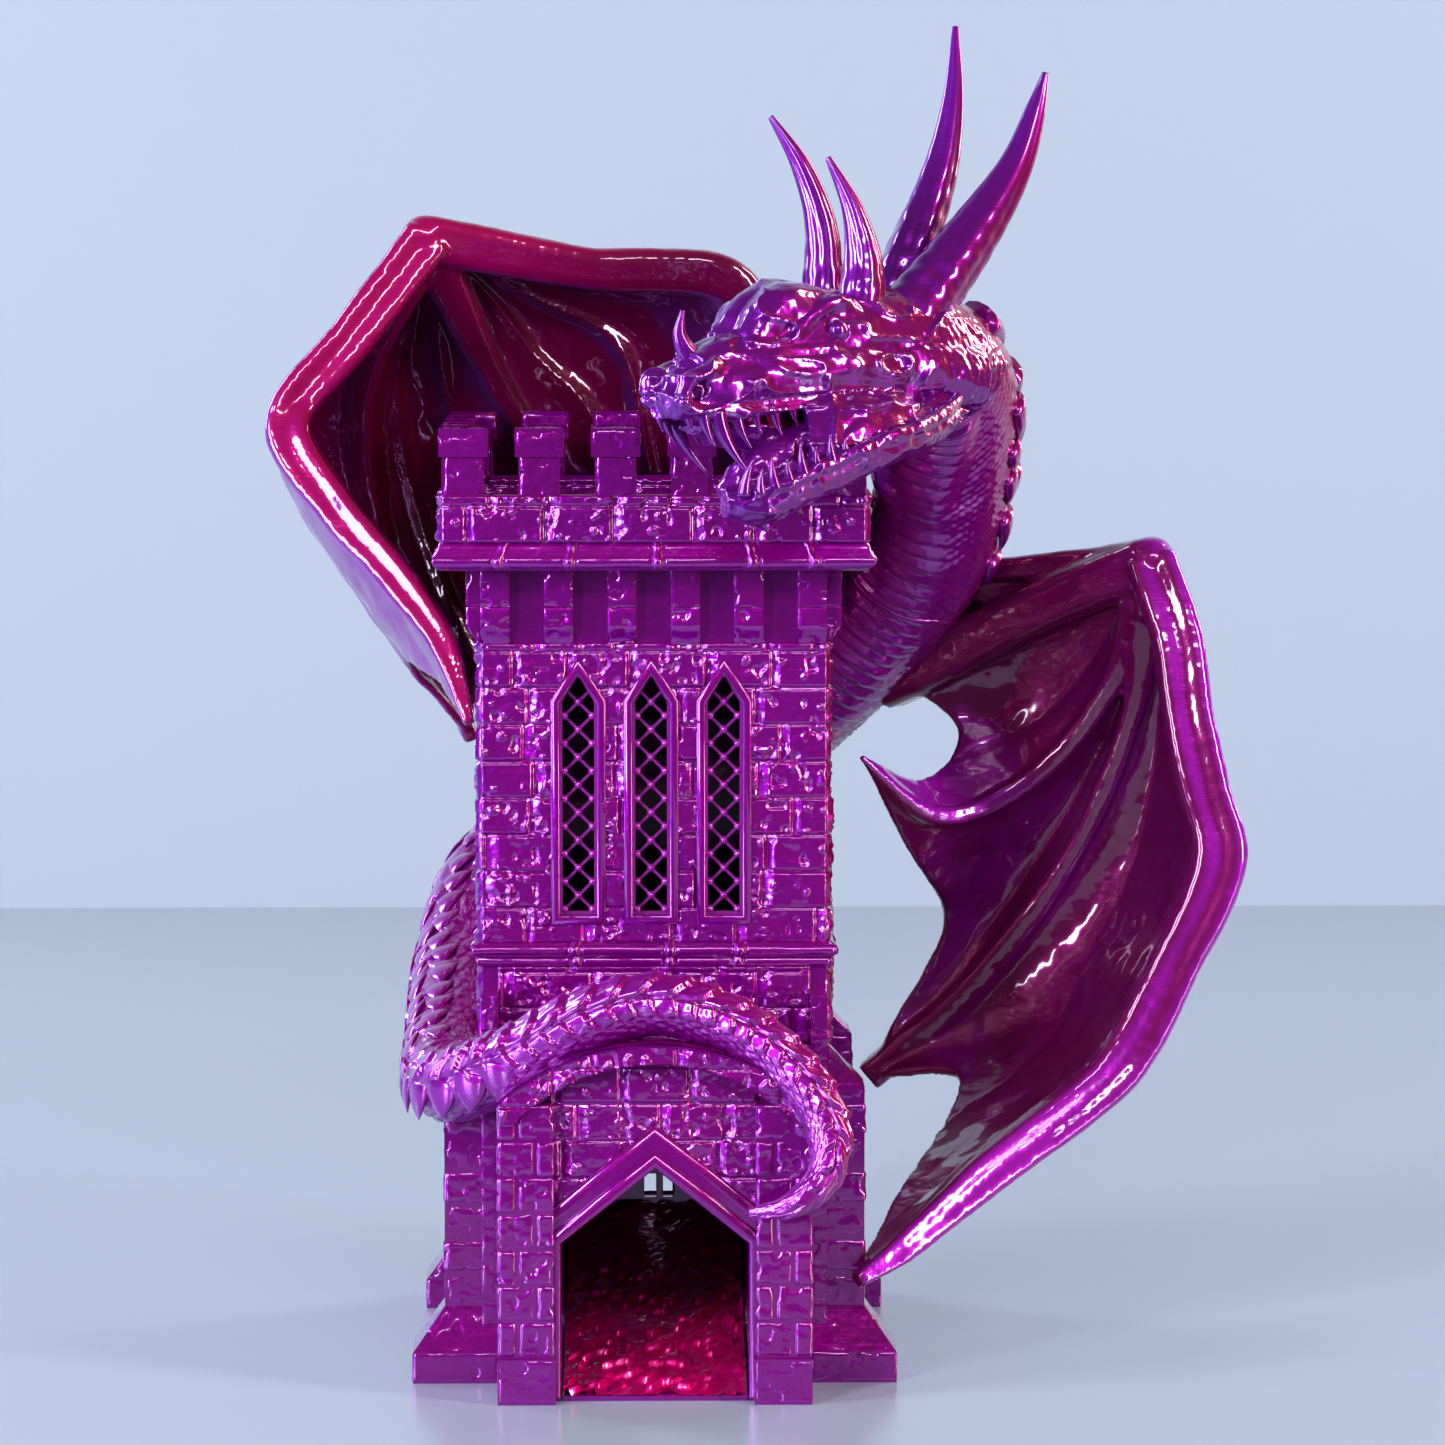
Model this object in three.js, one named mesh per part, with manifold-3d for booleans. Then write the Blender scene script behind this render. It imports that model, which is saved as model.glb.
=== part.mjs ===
// A castle dice tower with a dragon wrapped round it, as a kit of printed pieces.
// Millimetres, +Z up. The origin is the middle of the tower's footprint, on the table.
// The dice mouth faces -Y. Dice go in between the merlons, fall past three baffles and
// roll down the ramp and out through the porch.
import * as THREE from "three";
import { mergeVertices } from "three/addons/utils/BufferGeometryUtils.js";
import Module from "manifold-3d";

const wasm = await Module();
wasm.setup();

// ---------------------------------------------------------------- driving dimensions
const GAP = 0.3; // glue line or sliding clearance between two pieces
const SMOOTH = 0.02; // largest shape change when flat faces are joined up
const WELD = 1e-3; // corners nearer than this are one corner

const SHAFT = 34.6; // half the shaft's outer width
const WALL = 3.6; // shaft wall
const STAGE_SPLIT = 87; // height at which the upper stage sits on the lower one
const STAGE_RISE = 75.8; // height of the upper stage above the split
const FLOOR = 1.2; // floor plate of the lower stage
const SPIGOT = { deep: 3, wall: 1.4 }; // locating rim under the upper stage and the crown
const INNER = SHAFT - WALL;
const SHAFT_TOP = STAGE_SPLIT + STAGE_RISE;

// Heights under the stage split, and how far each band stands out of the shaft.
const STRING_COURSE = { low: 4.3, mid: 2.4, lowOut: 1, highOut: 1.7 };
// Clasping corner piers: out and in of the shaft's face, foot, and shoulder under the split.
const PIER = { out: 7.6, in: 3.3, splay: 6.3, plinth: 6.2, footTop: 14.5, shoulder: 28, top: 20.5 };
const STRIP = { width: 3.3, out: 10, top: 9 }; // narrow strip between a front pier and the porch

// Heights above the shaft's top; widths as they stand out of the shaft.
const CROWN = {
  soffitOut: 6.9,
  corniceOut: 9.5,
  cornice: 1.9,
  wallOut: 7.6,
  wallFoot: 5.5,
  wall: 14.9,
  thick: 4.6,
  funnel: 5.2, // where the hopper starts to open
  funnelTop: 12.2,
};
const MERLON = { count: 6, width: 8, cap: 9.8, shank: 7.8, rise: 13.5, overhang: 0.6 };
const CORBEL = { count: 6, width: 5.7, rise: 15.2, belly: 6.8, foot: 2, out: 3, toe: 0.9 };

// Heights above the split, and the solid wall left over the apex.
const WINDOW = { width: 7.5, pitch: 14.65, sill: 5.8, over: 21.3, arch: 5.8, middle: -0.6 };
const WINDOW_FRAME = { border: 1.7, out: 0.7 };
const LATTICE = { bar: 0.55, thick: 1.4, pitch: 5.6, rebate: 1.1 };

const DOOR = { half: 18.5, spring: 31.7, rise: 14.9, frame: 2.6, frameRise: 4.3, frameOut: 2.4 };
const PORCH = { depth: 29.4, eaves: 60, rise: 11.3, pilaster: 11, pilasterOut: 4.5, capital: 2, arch: 4 };
const PLINTH = { high: 9, out: 1.6, side: 0.4 };
const LOOPHOLE = { width: 2.6, low: 24, high: 29, spacing: 3.8, middle: 1.2 };

const RAMP = { lip: 1, back: 22, out: 2 };
const BAFFLE = { thick: 2.4, ledge: 2, past: 2, drop: 22.5 };
// Which wall each baffle leans from, and the height of its upper edge.
const BAFFLES = [
  { name: "baffle_upper", side: -1, z: SHAFT_TOP - 8.8 },
  { name: "baffle_middle", side: 1, z: SHAFT_TOP - 34.8 },
  { name: "baffle_lower", side: -1, z: STAGE_SPLIT - 6 },
];

const PEG = { radius: 2.6, half: 4 }; // dowel between two glued dragon pieces

const PORCH_HALF = SHAFT - PIER.in - GAP;
const PORCH_BACK = SHAFT + GAP;
const PORCH_FRONT = SHAFT + PORCH.depth;
const PILASTER_FRONT = PORCH_FRONT + PORCH.pilasterOut;
const PORCH_TOP = PORCH.eaves + PORCH.rise;
const PARAPET = SHAFT_TOP + CROWN.wall;
const PARAPET_HALF = SHAFT + CROWN.wallOut;
const PARAPET_INNER = PARAPET_HALF - CROWN.thick;
const SILL = STAGE_SPLIT + WINDOW.sill;
const APEX = SHAFT_TOP - WINDOW.over;

// ---------------------------------------------------------------- small geometry helpers
const vec = (p) => new THREE.Vector3(...p);

// A closed three.js geometry as a manifold-3d solid.
function solid(geometry) {
  const bare = geometry.index ? geometry.toNonIndexed() : geometry.clone();
  bare.deleteAttribute("normal");
  bare.deleteAttribute("uv");
  const merged = mergeVertices(bare, WELD);
  const made = new wasm.Manifold(
    new wasm.Mesh({
      numProp: 3,
      vertProperties: merged.attributes.position.array,
      triVerts: new Uint32Array(merged.index.array),
    }),
  );
  if (made.volume() <= 0) throw new Error("a solid is inside out");
  return made;
}

const union = (solids) => solids.reduce((a, b) => a.add(b));

// A solid as a three.js geometry.
function geometryOf(made) {
  const { numProp, vertProperties, triVerts } = made.getMesh();
  const points = new Float32Array((vertProperties.length / numProp) * 3);
  for (let i = 0; i < points.length / 3; i++) {
    points.set(vertProperties.subarray(i * numProp, i * numProp + 3), i * 3);
  }
  const geometry = new THREE.BufferGeometry();
  geometry.setAttribute("position", new THREE.BufferAttribute(points, 3));
  geometry.setIndex(new THREE.BufferAttribute(triVerts, 1));
  geometry.computeVertexNormals();
  return geometry;
}

// The largest body of a solid, with flat faces joined up and sealed pockets filled.
function mainBody(made) {
  const welded = solid(geometryOf(made.asOriginal().simplify(SMOOTH)));
  return welded.decompose().reduce((a, b) => (b.volume() > a.volume() ? b : a));
}

// An axis-aligned block between two corners, grown on every side.
function block([x0, y0, z0], [x1, y1, z1], grow = 0) {
  const size = [x1 - x0, y1 - y0, z1 - z0].map((s) => s + 2 * grow);
  const box = new THREE.BoxGeometry(...size);
  return solid(box.translate((x0 + x1) / 2, (y0 + y1) / 2, (z0 + z1) / 2));
}

// A block centred on the tower's axis.
const slab = (half, z0, z1, grow = 0) => block([-half, -half, z0], [half, half, z1], grow);

// A square frustum on the tower's axis, from one half width to another.
function frustum(halfLow, halfHigh, z0, z1) {
  const r = Math.SQRT2;
  const cone = new THREE.CylinderGeometry(halfHigh * r, halfLow * r, z1 - z0, 4);
  cone.rotateY(Math.PI / 4);
  cone.rotateX(Math.PI / 2);
  return solid(cone.translate(0, 0, (z0 + z1) / 2));
}

// An outline in the XZ plane, carried along Y.
function prismY(outline, y0, y1) {
  const shape = Array.isArray(outline) ? new THREE.Shape(outline.map((p) => new THREE.Vector2(...p))) : outline;
  const made = new THREE.ExtrudeGeometry(shape, { depth: y1 - y0, bevelEnabled: false, curveSegments: 10 });
  return solid(made.rotateX(Math.PI / 2).translate(0, y1, 0));
}

// An outline in the YZ plane, carried along X.
function prismX(outline, x0, x1) {
  const shape = new THREE.Shape(outline.map((p) => new THREE.Vector2(...p)));
  const made = new THREE.ExtrudeGeometry(shape, { depth: x1 - x0, bevelEnabled: false });
  const turn = new THREE.Matrix4().makeBasis(vec([0, 1, 0]), vec([0, 0, 1]), vec([1, 0, 0]));
  return solid(made.applyMatrix4(turn).translate(x0, 0, 0));
}

const turnedZ = (made, quarter) => made.rotate([0, 0, 90 * quarter]);
const allRound = (made) => union([0, 1, 2, 3].map((q) => turnedZ(made, q)));

// A tapered limb: a cylinder bent along a curve. stations are [x, y, z, radius]; from and to are
// shares of the curve, so one curve can be cut into several pieces that meet end to end.
class Limb {
  constructor(stations, flatten = 1) {
    this.curve = new THREE.CatmullRomCurve3(stations.map((s) => vec(s.slice(0, 3))), false, "centripetal");
    this.radii = stations.map((s) => s[3]);
    this.flatten = flatten;
    const run = this.curve.getPoint(1).sub(this.curve.getPoint(0));
    this.level = Math.abs(run.z) > 0.6 * run.length() ? vec([0, 1, 0]) : vec([0, 0, 1]);
  }
  radius(t) {
    const at = t * (this.radii.length - 1);
    const i = Math.min(Math.floor(at), this.radii.length - 2);
    return THREE.MathUtils.lerp(this.radii[i], this.radii[i + 1], at - i);
  }
  frame(t) {
    const along = this.curve.getTangent(t);
    const side = new THREE.Vector3().crossVectors(along, this.level).normalize();
    return { along, side, up: new THREE.Vector3().crossVectors(side, along).normalize() };
  }
  solid({ from = 0, to = 1, sides = 12, steps = 12, grow = 0 } = {}) {
    const tube = new THREE.CylinderGeometry(1, 1, 1, sides, steps);
    const at = tube.attributes.position;
    for (let i = 0; i < at.count; i++) {
      const t = from + (to - from) * (at.getY(i) + 0.5);
      const { side, up } = this.frame(t);
      const r = this.radius(t) + grow;
      const p = this.curve.getPoint(t);
      p.addScaledVector(side, at.getX(i) * r * this.flatten);
      p.addScaledVector(up, at.getZ(i) * r);
      at.setXYZ(i, p.x, p.y, p.z);
    }
    return solid(tube);
  }
  // A dowel along the curve at t, grown for its hole.
  peg(t, grow = 0) {
    const r = PEG.radius + grow;
    const pin = new THREE.CylinderGeometry(r, r, 2 * (PEG.half + grow), 10);
    const { along } = this.frame(t);
    pin.applyQuaternion(new THREE.Quaternion().setFromUnitVectors(vec([0, 1, 0]), along));
    return solid(pin.translate(...this.curve.getPoint(t).toArray()));
  }
  // The clearance under the limb's blunt end, where it stands in a socket.
  foot(grow) {
    const sides = 10;
    const r = (this.radii[0] + grow) / Math.cos(Math.PI / sides);
    const disc = new THREE.CylinderGeometry(r, r, 2 * grow, sides);
    const { along } = this.frame(0);
    disc.applyQuaternion(new THREE.Quaternion().setFromUnitVectors(vec([0, 1, 0]), along));
    return solid(disc.translate(...this.curve.getPoint(0).toArray()));
  }
}

// A curved sheet of even thickness between two curves that leave one joint, with its free edge
// scooped inwards and its middle pushed along a bulge direction.
function web(railA, railB, { bulge, scoop, thick = 2, alongSteps = 9, acrossSteps = 6, start = 0 }) {
  const surface = (u, v) => {
    const reach = u * (1 - scoop * Math.sin(Math.PI * v));
    const a = railA.getPoint(start + (1 - start) * reach);
    const b = railB.getPoint(start + (1 - start) * reach);
    const swell = Math.sin(Math.PI * v) * Math.sin(Math.PI * (0.15 + 0.7 * reach));
    return a.lerp(b, v).addScaledVector(bulge, swell);
  };
  const step = 0.01;
  const sheet = new THREE.BoxGeometry(1, 1, 1, alongSteps, acrossSteps, 1);
  const at = sheet.attributes.position;
  for (let i = 0; i < at.count; i++) {
    const u = at.getX(i) + 0.5;
    const v = at.getY(i) + 0.5;
    const p = surface(u, v);
    const du = surface(Math.min(u + step, 1), v).sub(surface(Math.max(u - step, 0), v));
    const dv = surface(u, Math.min(v + step, 1)).sub(surface(u, Math.max(v - step, 0)));
    const n = du.cross(dv);
    if (n.lengthSq() < 1e-12) n.copy(bulge);
    p.addScaledVector(n.normalize(), at.getZ(i) * thick);
    at.setXYZ(i, p.x, p.y, p.z);
  }
  return solid(sheet);
}

// ---------------------------------------------------------------- outlines that pieces share
// A gable-topped opening, grown outwards.
function gable(half, foot, spring, apex, grow = 0) {
  return [
    [-half - grow, foot],
    [half + grow, foot],
    [half + grow, spring],
    [0, apex + grow],
    [-half - grow, spring],
  ];
}

const shifted = (outline, dx) => outline.map(([x, z]) => [x + dx, z]);
const windowCentres = [-1, 0, 1].map((i) => WINDOW.middle + i * WINDOW.pitch);
const lancet = (grow = 0) => gable(WINDOW.width / 2, SILL - grow, APEX - WINDOW.arch, APEX, grow);

// The top line of a baffle in the YZ plane: from its wall down into the shaft.
function baffleLine({ side, z }) {
  const wall = side * (INNER - GAP);
  return [[wall, z], [side * -BAFFLE.past, z - BAFFLE.drop]];
}

// A band that follows a baffle, from depth a to depth b under its top line.
function baffleBand(baffle, a, b, half0, half1) {
  const [p, q] = baffleLine(baffle);
  return prismX([[p[0], p[1] - a], [q[0], q[1] - a], [q[0], q[1] - b], [p[0], p[1] - b]], half0, half1);
}

// The two sloping ledges on the side walls that a baffle is glued on.
function ledges(baffle) {
  const a = BAFFLE.thick + GAP;
  const x = [INNER - BAFFLE.ledge, INNER + WALL / 2];
  const right = baffleBand(baffle, a, a + BAFFLE.ledge, x[0], x[1]);
  return right.add(baffleBand(baffle, a, a + BAFFLE.ledge, -x[1], -x[0]));
}

// ---------------------------------------------------------------- the tower
// A clasping pier at the +X +Y corner, with its splayed foot and sloping shoulder.
function pier(grow = 0) {
  const out = SHAFT + PIER.out;
  const profile = [
    [SHAFT - PIER.in, 0],
    [out + PIER.splay, 0],
    [out + PIER.splay, PIER.plinth],
    [out, PIER.footTop],
    [out, STAGE_SPLIT - PIER.shoulder],
    [SHAFT, STAGE_SPLIT - PIER.top],
    [SHAFT - PIER.in, STAGE_SPLIT - PIER.top],
  ];
  const low = SHAFT - PIER.in - grow;
  const high = out + PIER.splay + grow;
  const grown = profile.map(([u, z], i) => [i === 0 || i === 6 ? u - grow : u + grow, z + (z > 0 ? grow : 0)]);
  return prismY(grown, low, high).intersect(prismX(grown, low, high));
}

function stringCourse(grow = 0) {
  const { lowOut, highOut } = STRING_COURSE;
  const low = STAGE_SPLIT - STRING_COURSE.low;
  const mid = STAGE_SPLIT - STRING_COURSE.mid;
  return slab(SHAFT + lowOut, low, mid, grow).add(slab(SHAFT + highOut, mid, STAGE_SPLIT, grow));
}

function frontStrips(grow = 0) {
  const inner = PORCH_HALF + GAP;
  const strip = (side) =>
    block(
      [side > 0 ? inner : -inner - STRIP.width, -SHAFT - STRIP.out, 0],
      [side > 0 ? inner + STRIP.width : -inner, -SHAFT, STAGE_SPLIT - STRIP.top],
      grow,
    );
  return strip(1).add(strip(-1));
}

function lowerStage() {
  const rise = STAGE_SPLIT;
  let made = slab(SHAFT, 0, rise).add(stringCourse()).add(allRound(pier())).add(frontStrips());
  made = made.subtract(slab(INNER, FLOOR, rise + 1));
  made = made.add(ledges(BAFFLES[2]));
  const passage = gable(DOOR.half, FLOOR, DOOR.spring, DOOR.spring + DOOR.rise);
  made = made.subtract(prismY(passage, -SHAFT - 1, -INNER + 1));
  const y = [INNER - 1, SHAFT + 1];
  for (const side of [-1, 1]) {
    const x = LOOPHOLE.middle + (side * LOOPHOLE.spacing) / 2;
    const half = LOOPHOLE.width / 2;
    made = made.subtract(block([x - half, y[0], LOOPHOLE.low], [x + half, y[1], LOOPHOLE.high]));
  }
  return made;
}

function porchShape(inset = 0) {
  const half = PORCH_HALF - inset;
  const eaves = PORCH.eaves - inset;
  const rise = PORCH.rise;
  const crown = eaves + rise;
  const radius = (half * half + rise * rise) / (2 * rise);
  const spread = Math.asin(half / radius);
  const shape = new THREE.Shape();
  shape.moveTo(-half, 0);
  shape.lineTo(half, 0);
  shape.lineTo(half, eaves);
  shape.absarc(0, crown - radius, radius, Math.PI / 2 - spread, Math.PI / 2 + spread, false);
  shape.closePath();
  return shape;
}

function porchBody() {
  const { eaves, pilaster, capital } = PORCH;
  const half = PORCH_HALF;
  const recess = prismY(porchShape(PORCH.arch), -PILASTER_FRONT - 1, -PORCH_FRONT);
  const pieces = [prismY(porchShape(), -PILASTER_FRONT, -PORCH_BACK).subtract(recess)];
  for (const side of [-1, 1]) {
    const xs = (a, b) => [Math.min(side * a, side * b), Math.max(side * a, side * b)];
    const [x0, x1] = xs(half - pilaster, half);
    pieces.push(block([x0, -PILASTER_FRONT, 0], [x1, 1 - PORCH_FRONT, eaves - capital]));
    const [p0, p1] = xs(half - pilaster - PLINTH.side, half);
    pieces.push(block([p0, -PILASTER_FRONT - PLINTH.out, 0], [p1, 1 - PORCH_FRONT, PLINTH.high]));
  }
  return union(pieces);
}

function porch() {
  const { half, spring, rise, frame, frameRise, frameOut } = DOOR;
  const outer = gable(half, 0, spring + frame, spring + rise + frameRise, frame);
  const border = prismY(outer, -PORCH_FRONT - frameOut, 1 - PORCH_FRONT);
  const passage = prismY(gable(half, -1, spring, spring + rise), -PILASTER_FRONT - 9, 1 - PORCH_BACK);
  return porchBody().add(border).subtract(passage).subtract(stringCourse(GAP));
}

function ramp() {
  const { lip, back } = RAMP;
  const front = PORCH_FRONT + RAMP.out;
  const wall = INNER - GAP;
  const slope = (back - lip) / (front + wall);
  const top = (y) => lip + (y + front) * slope;
  const sill = -SHAFT - GAP;
  const foot = FLOOR + GAP;
  const outline = [[-front, 0], [sill, 0], [sill, foot], [wall, foot], [wall, back], [-front, lip]];
  const tongue = DOOR.half - GAP;
  const wide = [[-wall, foot], [wall, foot], [wall, back], [-wall, top(-wall)]];
  return prismX(outline, -tongue, tongue).add(prismX(wide, -wall, wall));
}

function corbels(grow = 0) {
  const pitch = (2 * SHAFT - CORBEL.width) / (CORBEL.count - 1);
  const low = SHAFT_TOP - CORBEL.rise - grow;
  const profile = [
    [SHAFT - 1, low],
    [SHAFT + CORBEL.toe + grow, low + CORBEL.foot],
    [SHAFT + CORBEL.out + grow, SHAFT_TOP - CORBEL.belly],
    [SHAFT + CORBEL.out + grow, SHAFT_TOP],
    [SHAFT - 1, SHAFT_TOP],
  ];
  const row = [];
  for (let i = 0; i < CORBEL.count; i++) {
    const x = -SHAFT + i * pitch;
    row.push(prismX(profile, x - grow, x + CORBEL.width + grow));
  }
  return allRound(union(row));
}

// The rim under a piece, which drops inside the wall below it.
function spigot(z) {
  const outer = INNER - GAP;
  return slab(outer, z - SPIGOT.deep, z + 1).subtract(slab(outer - SPIGOT.wall, z - SPIGOT.deep - 1, z + 2));
}

function upperStage() {
  let made = slab(SHAFT, STAGE_SPLIT, SHAFT_TOP).subtract(slab(INNER, STAGE_SPLIT - 1, SHAFT_TOP + 1));
  const rim = slab(SHAFT - 1, STAGE_SPLIT, STAGE_SPLIT + 1);
  const bore = INNER - GAP - SPIGOT.wall;
  made = made.add(rim.subtract(slab(bore, STAGE_SPLIT - 1, STAGE_SPLIT + 2))).add(spigot(STAGE_SPLIT));
  made = made.add(corbels()).add(ledges(BAFFLES[0])).add(ledges(BAFFLES[1]));
  for (const x of windowCentres) {
    made = made.add(prismY(shifted(lancet(WINDOW_FRAME.border), x), -SHAFT - WINDOW_FRAME.out, -SHAFT + 1));
  }
  for (const x of windowCentres) {
    made = made.subtract(prismY(shifted(lancet(), x), -SHAFT - 2, -INNER + 1));
    made = made.subtract(prismY(shifted(lancet(LATTICE.rebate), x), -INNER - LATTICE.thick - GAP, -INNER + 1));
  }
  return made;
}

// A diamond lattice in a thin border, which drops into the rebate behind one window.
function lattice(x) {
  const y0 = -INNER - LATTICE.thick;
  const border = lancet(LATTICE.rebate - GAP);
  const rim = prismY(shifted(border, x), y0, y0 + LATTICE.thick);
  const open = prismY(shifted(lancet(-LATTICE.bar), x), y0 - 1, y0 + LATTICE.thick + 1);
  const half = LATTICE.bar / 2;
  const reach = WINDOW.width;
  const bars = [];
  for (let z = SILL - reach; z < APEX + reach; z += LATTICE.pitch) {
    for (const lean of [-1, 1]) {
      const r = [reach, reach * lean];
      bars.push(
        prismY(
          [
            [x - r[0], z - r[1] - half * Math.SQRT2],
            [x + r[0], z + r[1] - half * Math.SQRT2],
            [x + r[0], z + r[1] + half * Math.SQRT2],
            [x - r[0], z - r[1] + half * Math.SQRT2],
          ],
          y0 + GAP,
          y0 + LATTICE.thick - GAP,
        ),
      );
    }
  }
  return rim.subtract(open).add(union(bars).intersect(prismY(shifted(border, x), y0, y0 + LATTICE.thick)));
}

function merlons(grow = 0) {
  const { count, width, cap, shank, rise, overhang } = MERLON;
  const span = 2 * (PARAPET_HALF + overhang);
  const pitch = (span - cap) / (count - 1);
  const neck = PARAPET + shank;
  const top = PARAPET + rise;
  const y = [-PARAPET_HALF, -PARAPET_INNER];
  const ring = [];
  for (let i = 0; i < count; i++) {
    const c = (cap - span) / 2 + i * pitch;
    const limit = PARAPET_HALF - width / 2;
    const edge = Math.min(Math.max(c, -limit), limit);
    ring.push(block([edge - width / 2, y[0], PARAPET - 1], [edge + width / 2, y[1], neck], grow));
    ring.push(block([c - cap / 2, y[0] - overhang, neck - grow], [c + cap / 2, y[1] + overhang, top], grow));
  }
  return allRound(union(ring));
}

function crownBody(grow = 0) {
  const soffit = SHAFT + CROWN.soffitOut + grow;
  const cornice = SHAFT + CROWN.corniceOut + grow;
  const edge = SHAFT_TOP + CROWN.cornice;
  const wallFoot = SHAFT_TOP + CROWN.wallFoot;
  return union([
    frustum(soffit, cornice, SHAFT_TOP - grow, edge),
    frustum(cornice, PARAPET_HALF + grow, edge, wallFoot),
    slab(PARAPET_HALF + grow, wallFoot, PARAPET),
  ]);
}

function crown() {
  const bore = INNER - GAP - SPIGOT.wall;
  const funnel = SHAFT_TOP + CROWN.funnel;
  const funnelTop = SHAFT_TOP + CROWN.funnelTop;
  const between = PARAPET_INNER - MERLON.overhang;
  return crownBody()
    .add(merlons())
    .subtract(slab(bore, SHAFT_TOP - 1, funnel + 0.5))
    .subtract(frustum(bore, PARAPET_INNER, funnel, funnelTop))
    .subtract(slab(PARAPET_INNER, funnelTop, PARAPET))
    .subtract(slab(between, PARAPET - 1, PARAPET + MERLON.rise + 1))
    .add(spigot(SHAFT_TOP));
}

// Everything of the tower that a dragon piece has to stay clear of, grown by the glue gap.
function towerEnvelope() {
  const roof = prismY(porchShape(), -PILASTER_FRONT - GAP, 1 - PORCH_BACK);
  const pilasters = [[-PORCH_HALF, -PILASTER_FRONT, 0], [PORCH_HALF, -PORCH_BACK, PORCH.eaves - PORCH.capital]];
  return union([
    slab(SHAFT, 0, SHAFT_TOP, GAP),
    stringCourse(GAP),
    allRound(pier(GAP)),
    frontStrips(GAP),
    corbels(GAP),
    crownBody(GAP),
    merlons(GAP),
    roof,
    roof.translate([0, 0, GAP]),
    roof.translate([GAP, 0, 0]),
    roof.translate([-GAP, 0, 0]),
    block(...pilasters, GAP),
  ]);
}

// ---------------------------------------------------------------- the dragon
// The dragon's lines were drawn round a tower with its faces, stages and tops at these places.
// Each line is carried over from there to the tower as it is sized above.
const DRAWN = { x: [-34.6, 34.6], y: [-68.5, -34.6, 34.6], z: [0, 71.3, 87, 162.8, 191.2] };
const BUILT = {
  x: [-SHAFT, SHAFT],
  y: [-PILASTER_FRONT, -SHAFT, SHAFT],
  z: [0, PORCH_TOP, STAGE_SPLIT, SHAFT_TOP, PARAPET + MERLON.rise],
};

function carried(value, from, to) {
  const last = from.length - 1;
  if (value <= from[0]) return value + to[0] - from[0];
  if (value >= from[last]) return value + to[last] - from[last];
  const i = from.findIndex((edge) => value < edge) - 1;
  return THREE.MathUtils.mapLinear(value, from[i], from[i + 1], to[i], to[i + 1]);
}

const onTower = ([x, y, z, radius]) => [
  carried(x, DRAWN.x, BUILT.x),
  carried(y, DRAWN.y, BUILT.y),
  carried(z, DRAWN.z, BUILT.z),
  radius,
];

// The spine from the tail's tip, round the tower and up to the nose: x, y, z, radius.
const SPINE = [
  [18.5, -73, 38.8, 0.9],
  [27, -75.6, 41, 2.7],
  [33.2, -74, 47, 3.7],
  [33.5, -70, 56, 4.6],
  [25.5, -65.5, 67, 5.4],
  [13, -61.5, 75, 6],
  [0, -60.5, 78, 6.3],
  [-14, -60, 74.5, 6.7],
  [-28, -56, 66, 7.4],
  [-40, -44, 60, 8.2],
  [-42, -28, 61, 9],
  [-41, -8, 67, 9.8],
  [-39.5, 15, 76, 10.6],
  [-34, 36, 88, 12.4],
  [-22, 51, 97, 14.2],
  [2, 57.5, 110, 17.2],
  [28, 54, 130, 17.6],
  [47, 40, 148, 16],
  [58, 23, 166, 14.8],
  [61, 10, 183, 14],
  [61, -4, 199, 13.4],
  [53, -17, 206, 12.6],
  [42, -28, 207, 12],
  [30, -39, 205.5, 11],
  [19, -49, 202.5, 9.2],
  [11, -56, 200, 7.8],
  [6.5, -59.5, 198.6, 6],
];
const limb = (stations) => new Limb(stations.map(onTower));
const spine = limb(SPINE);
const stationShare = (i) => i / (SPINE.length - 1);
const GLUE = 0.0004; // half the glue line, as a share of the spine's curve
const CUTS = { tail: stationShare(9.6), hip: stationShare(14.2), shoulder: stationShare(17.6), head: stationShare(20.35) };

const JAW = [
  [56.5, -26, 194.5, 6],
  [52, -38, 191.5, 5.4],
  [45, -48.5, 188.5, 4.8],
  [35, -55, 184.5, 4.8],
  [27, -59, 181, 5],
  [20, -62, 178, 5],
  [13.5, -63.5, 178, 3.4],
];

// What the plain tube of the snout lacks: brow, hooked lip and jaw muscle.
const SKULL = [
  [[48, -18, 209, 5.5], [37, -29, 214, 6], [26.5, -36, 215.6, 4.8], [17, -44, 209.5, 3.2], [10, -53, 204.5, 2.6]],
  [[12, -54, 199, 6.5], [6.5, -59.5, 197.5, 5.4], [4.6, -61, 193, 3.4], [5, -61, 188.5, 0.8]],
  [[59, -16, 199, 7.5], [54, -28, 198.6, 7], [44, -37, 197.4, 6], [30, -48, 195.4, 5], [15, -56, 195.6, 5]],
];

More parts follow.
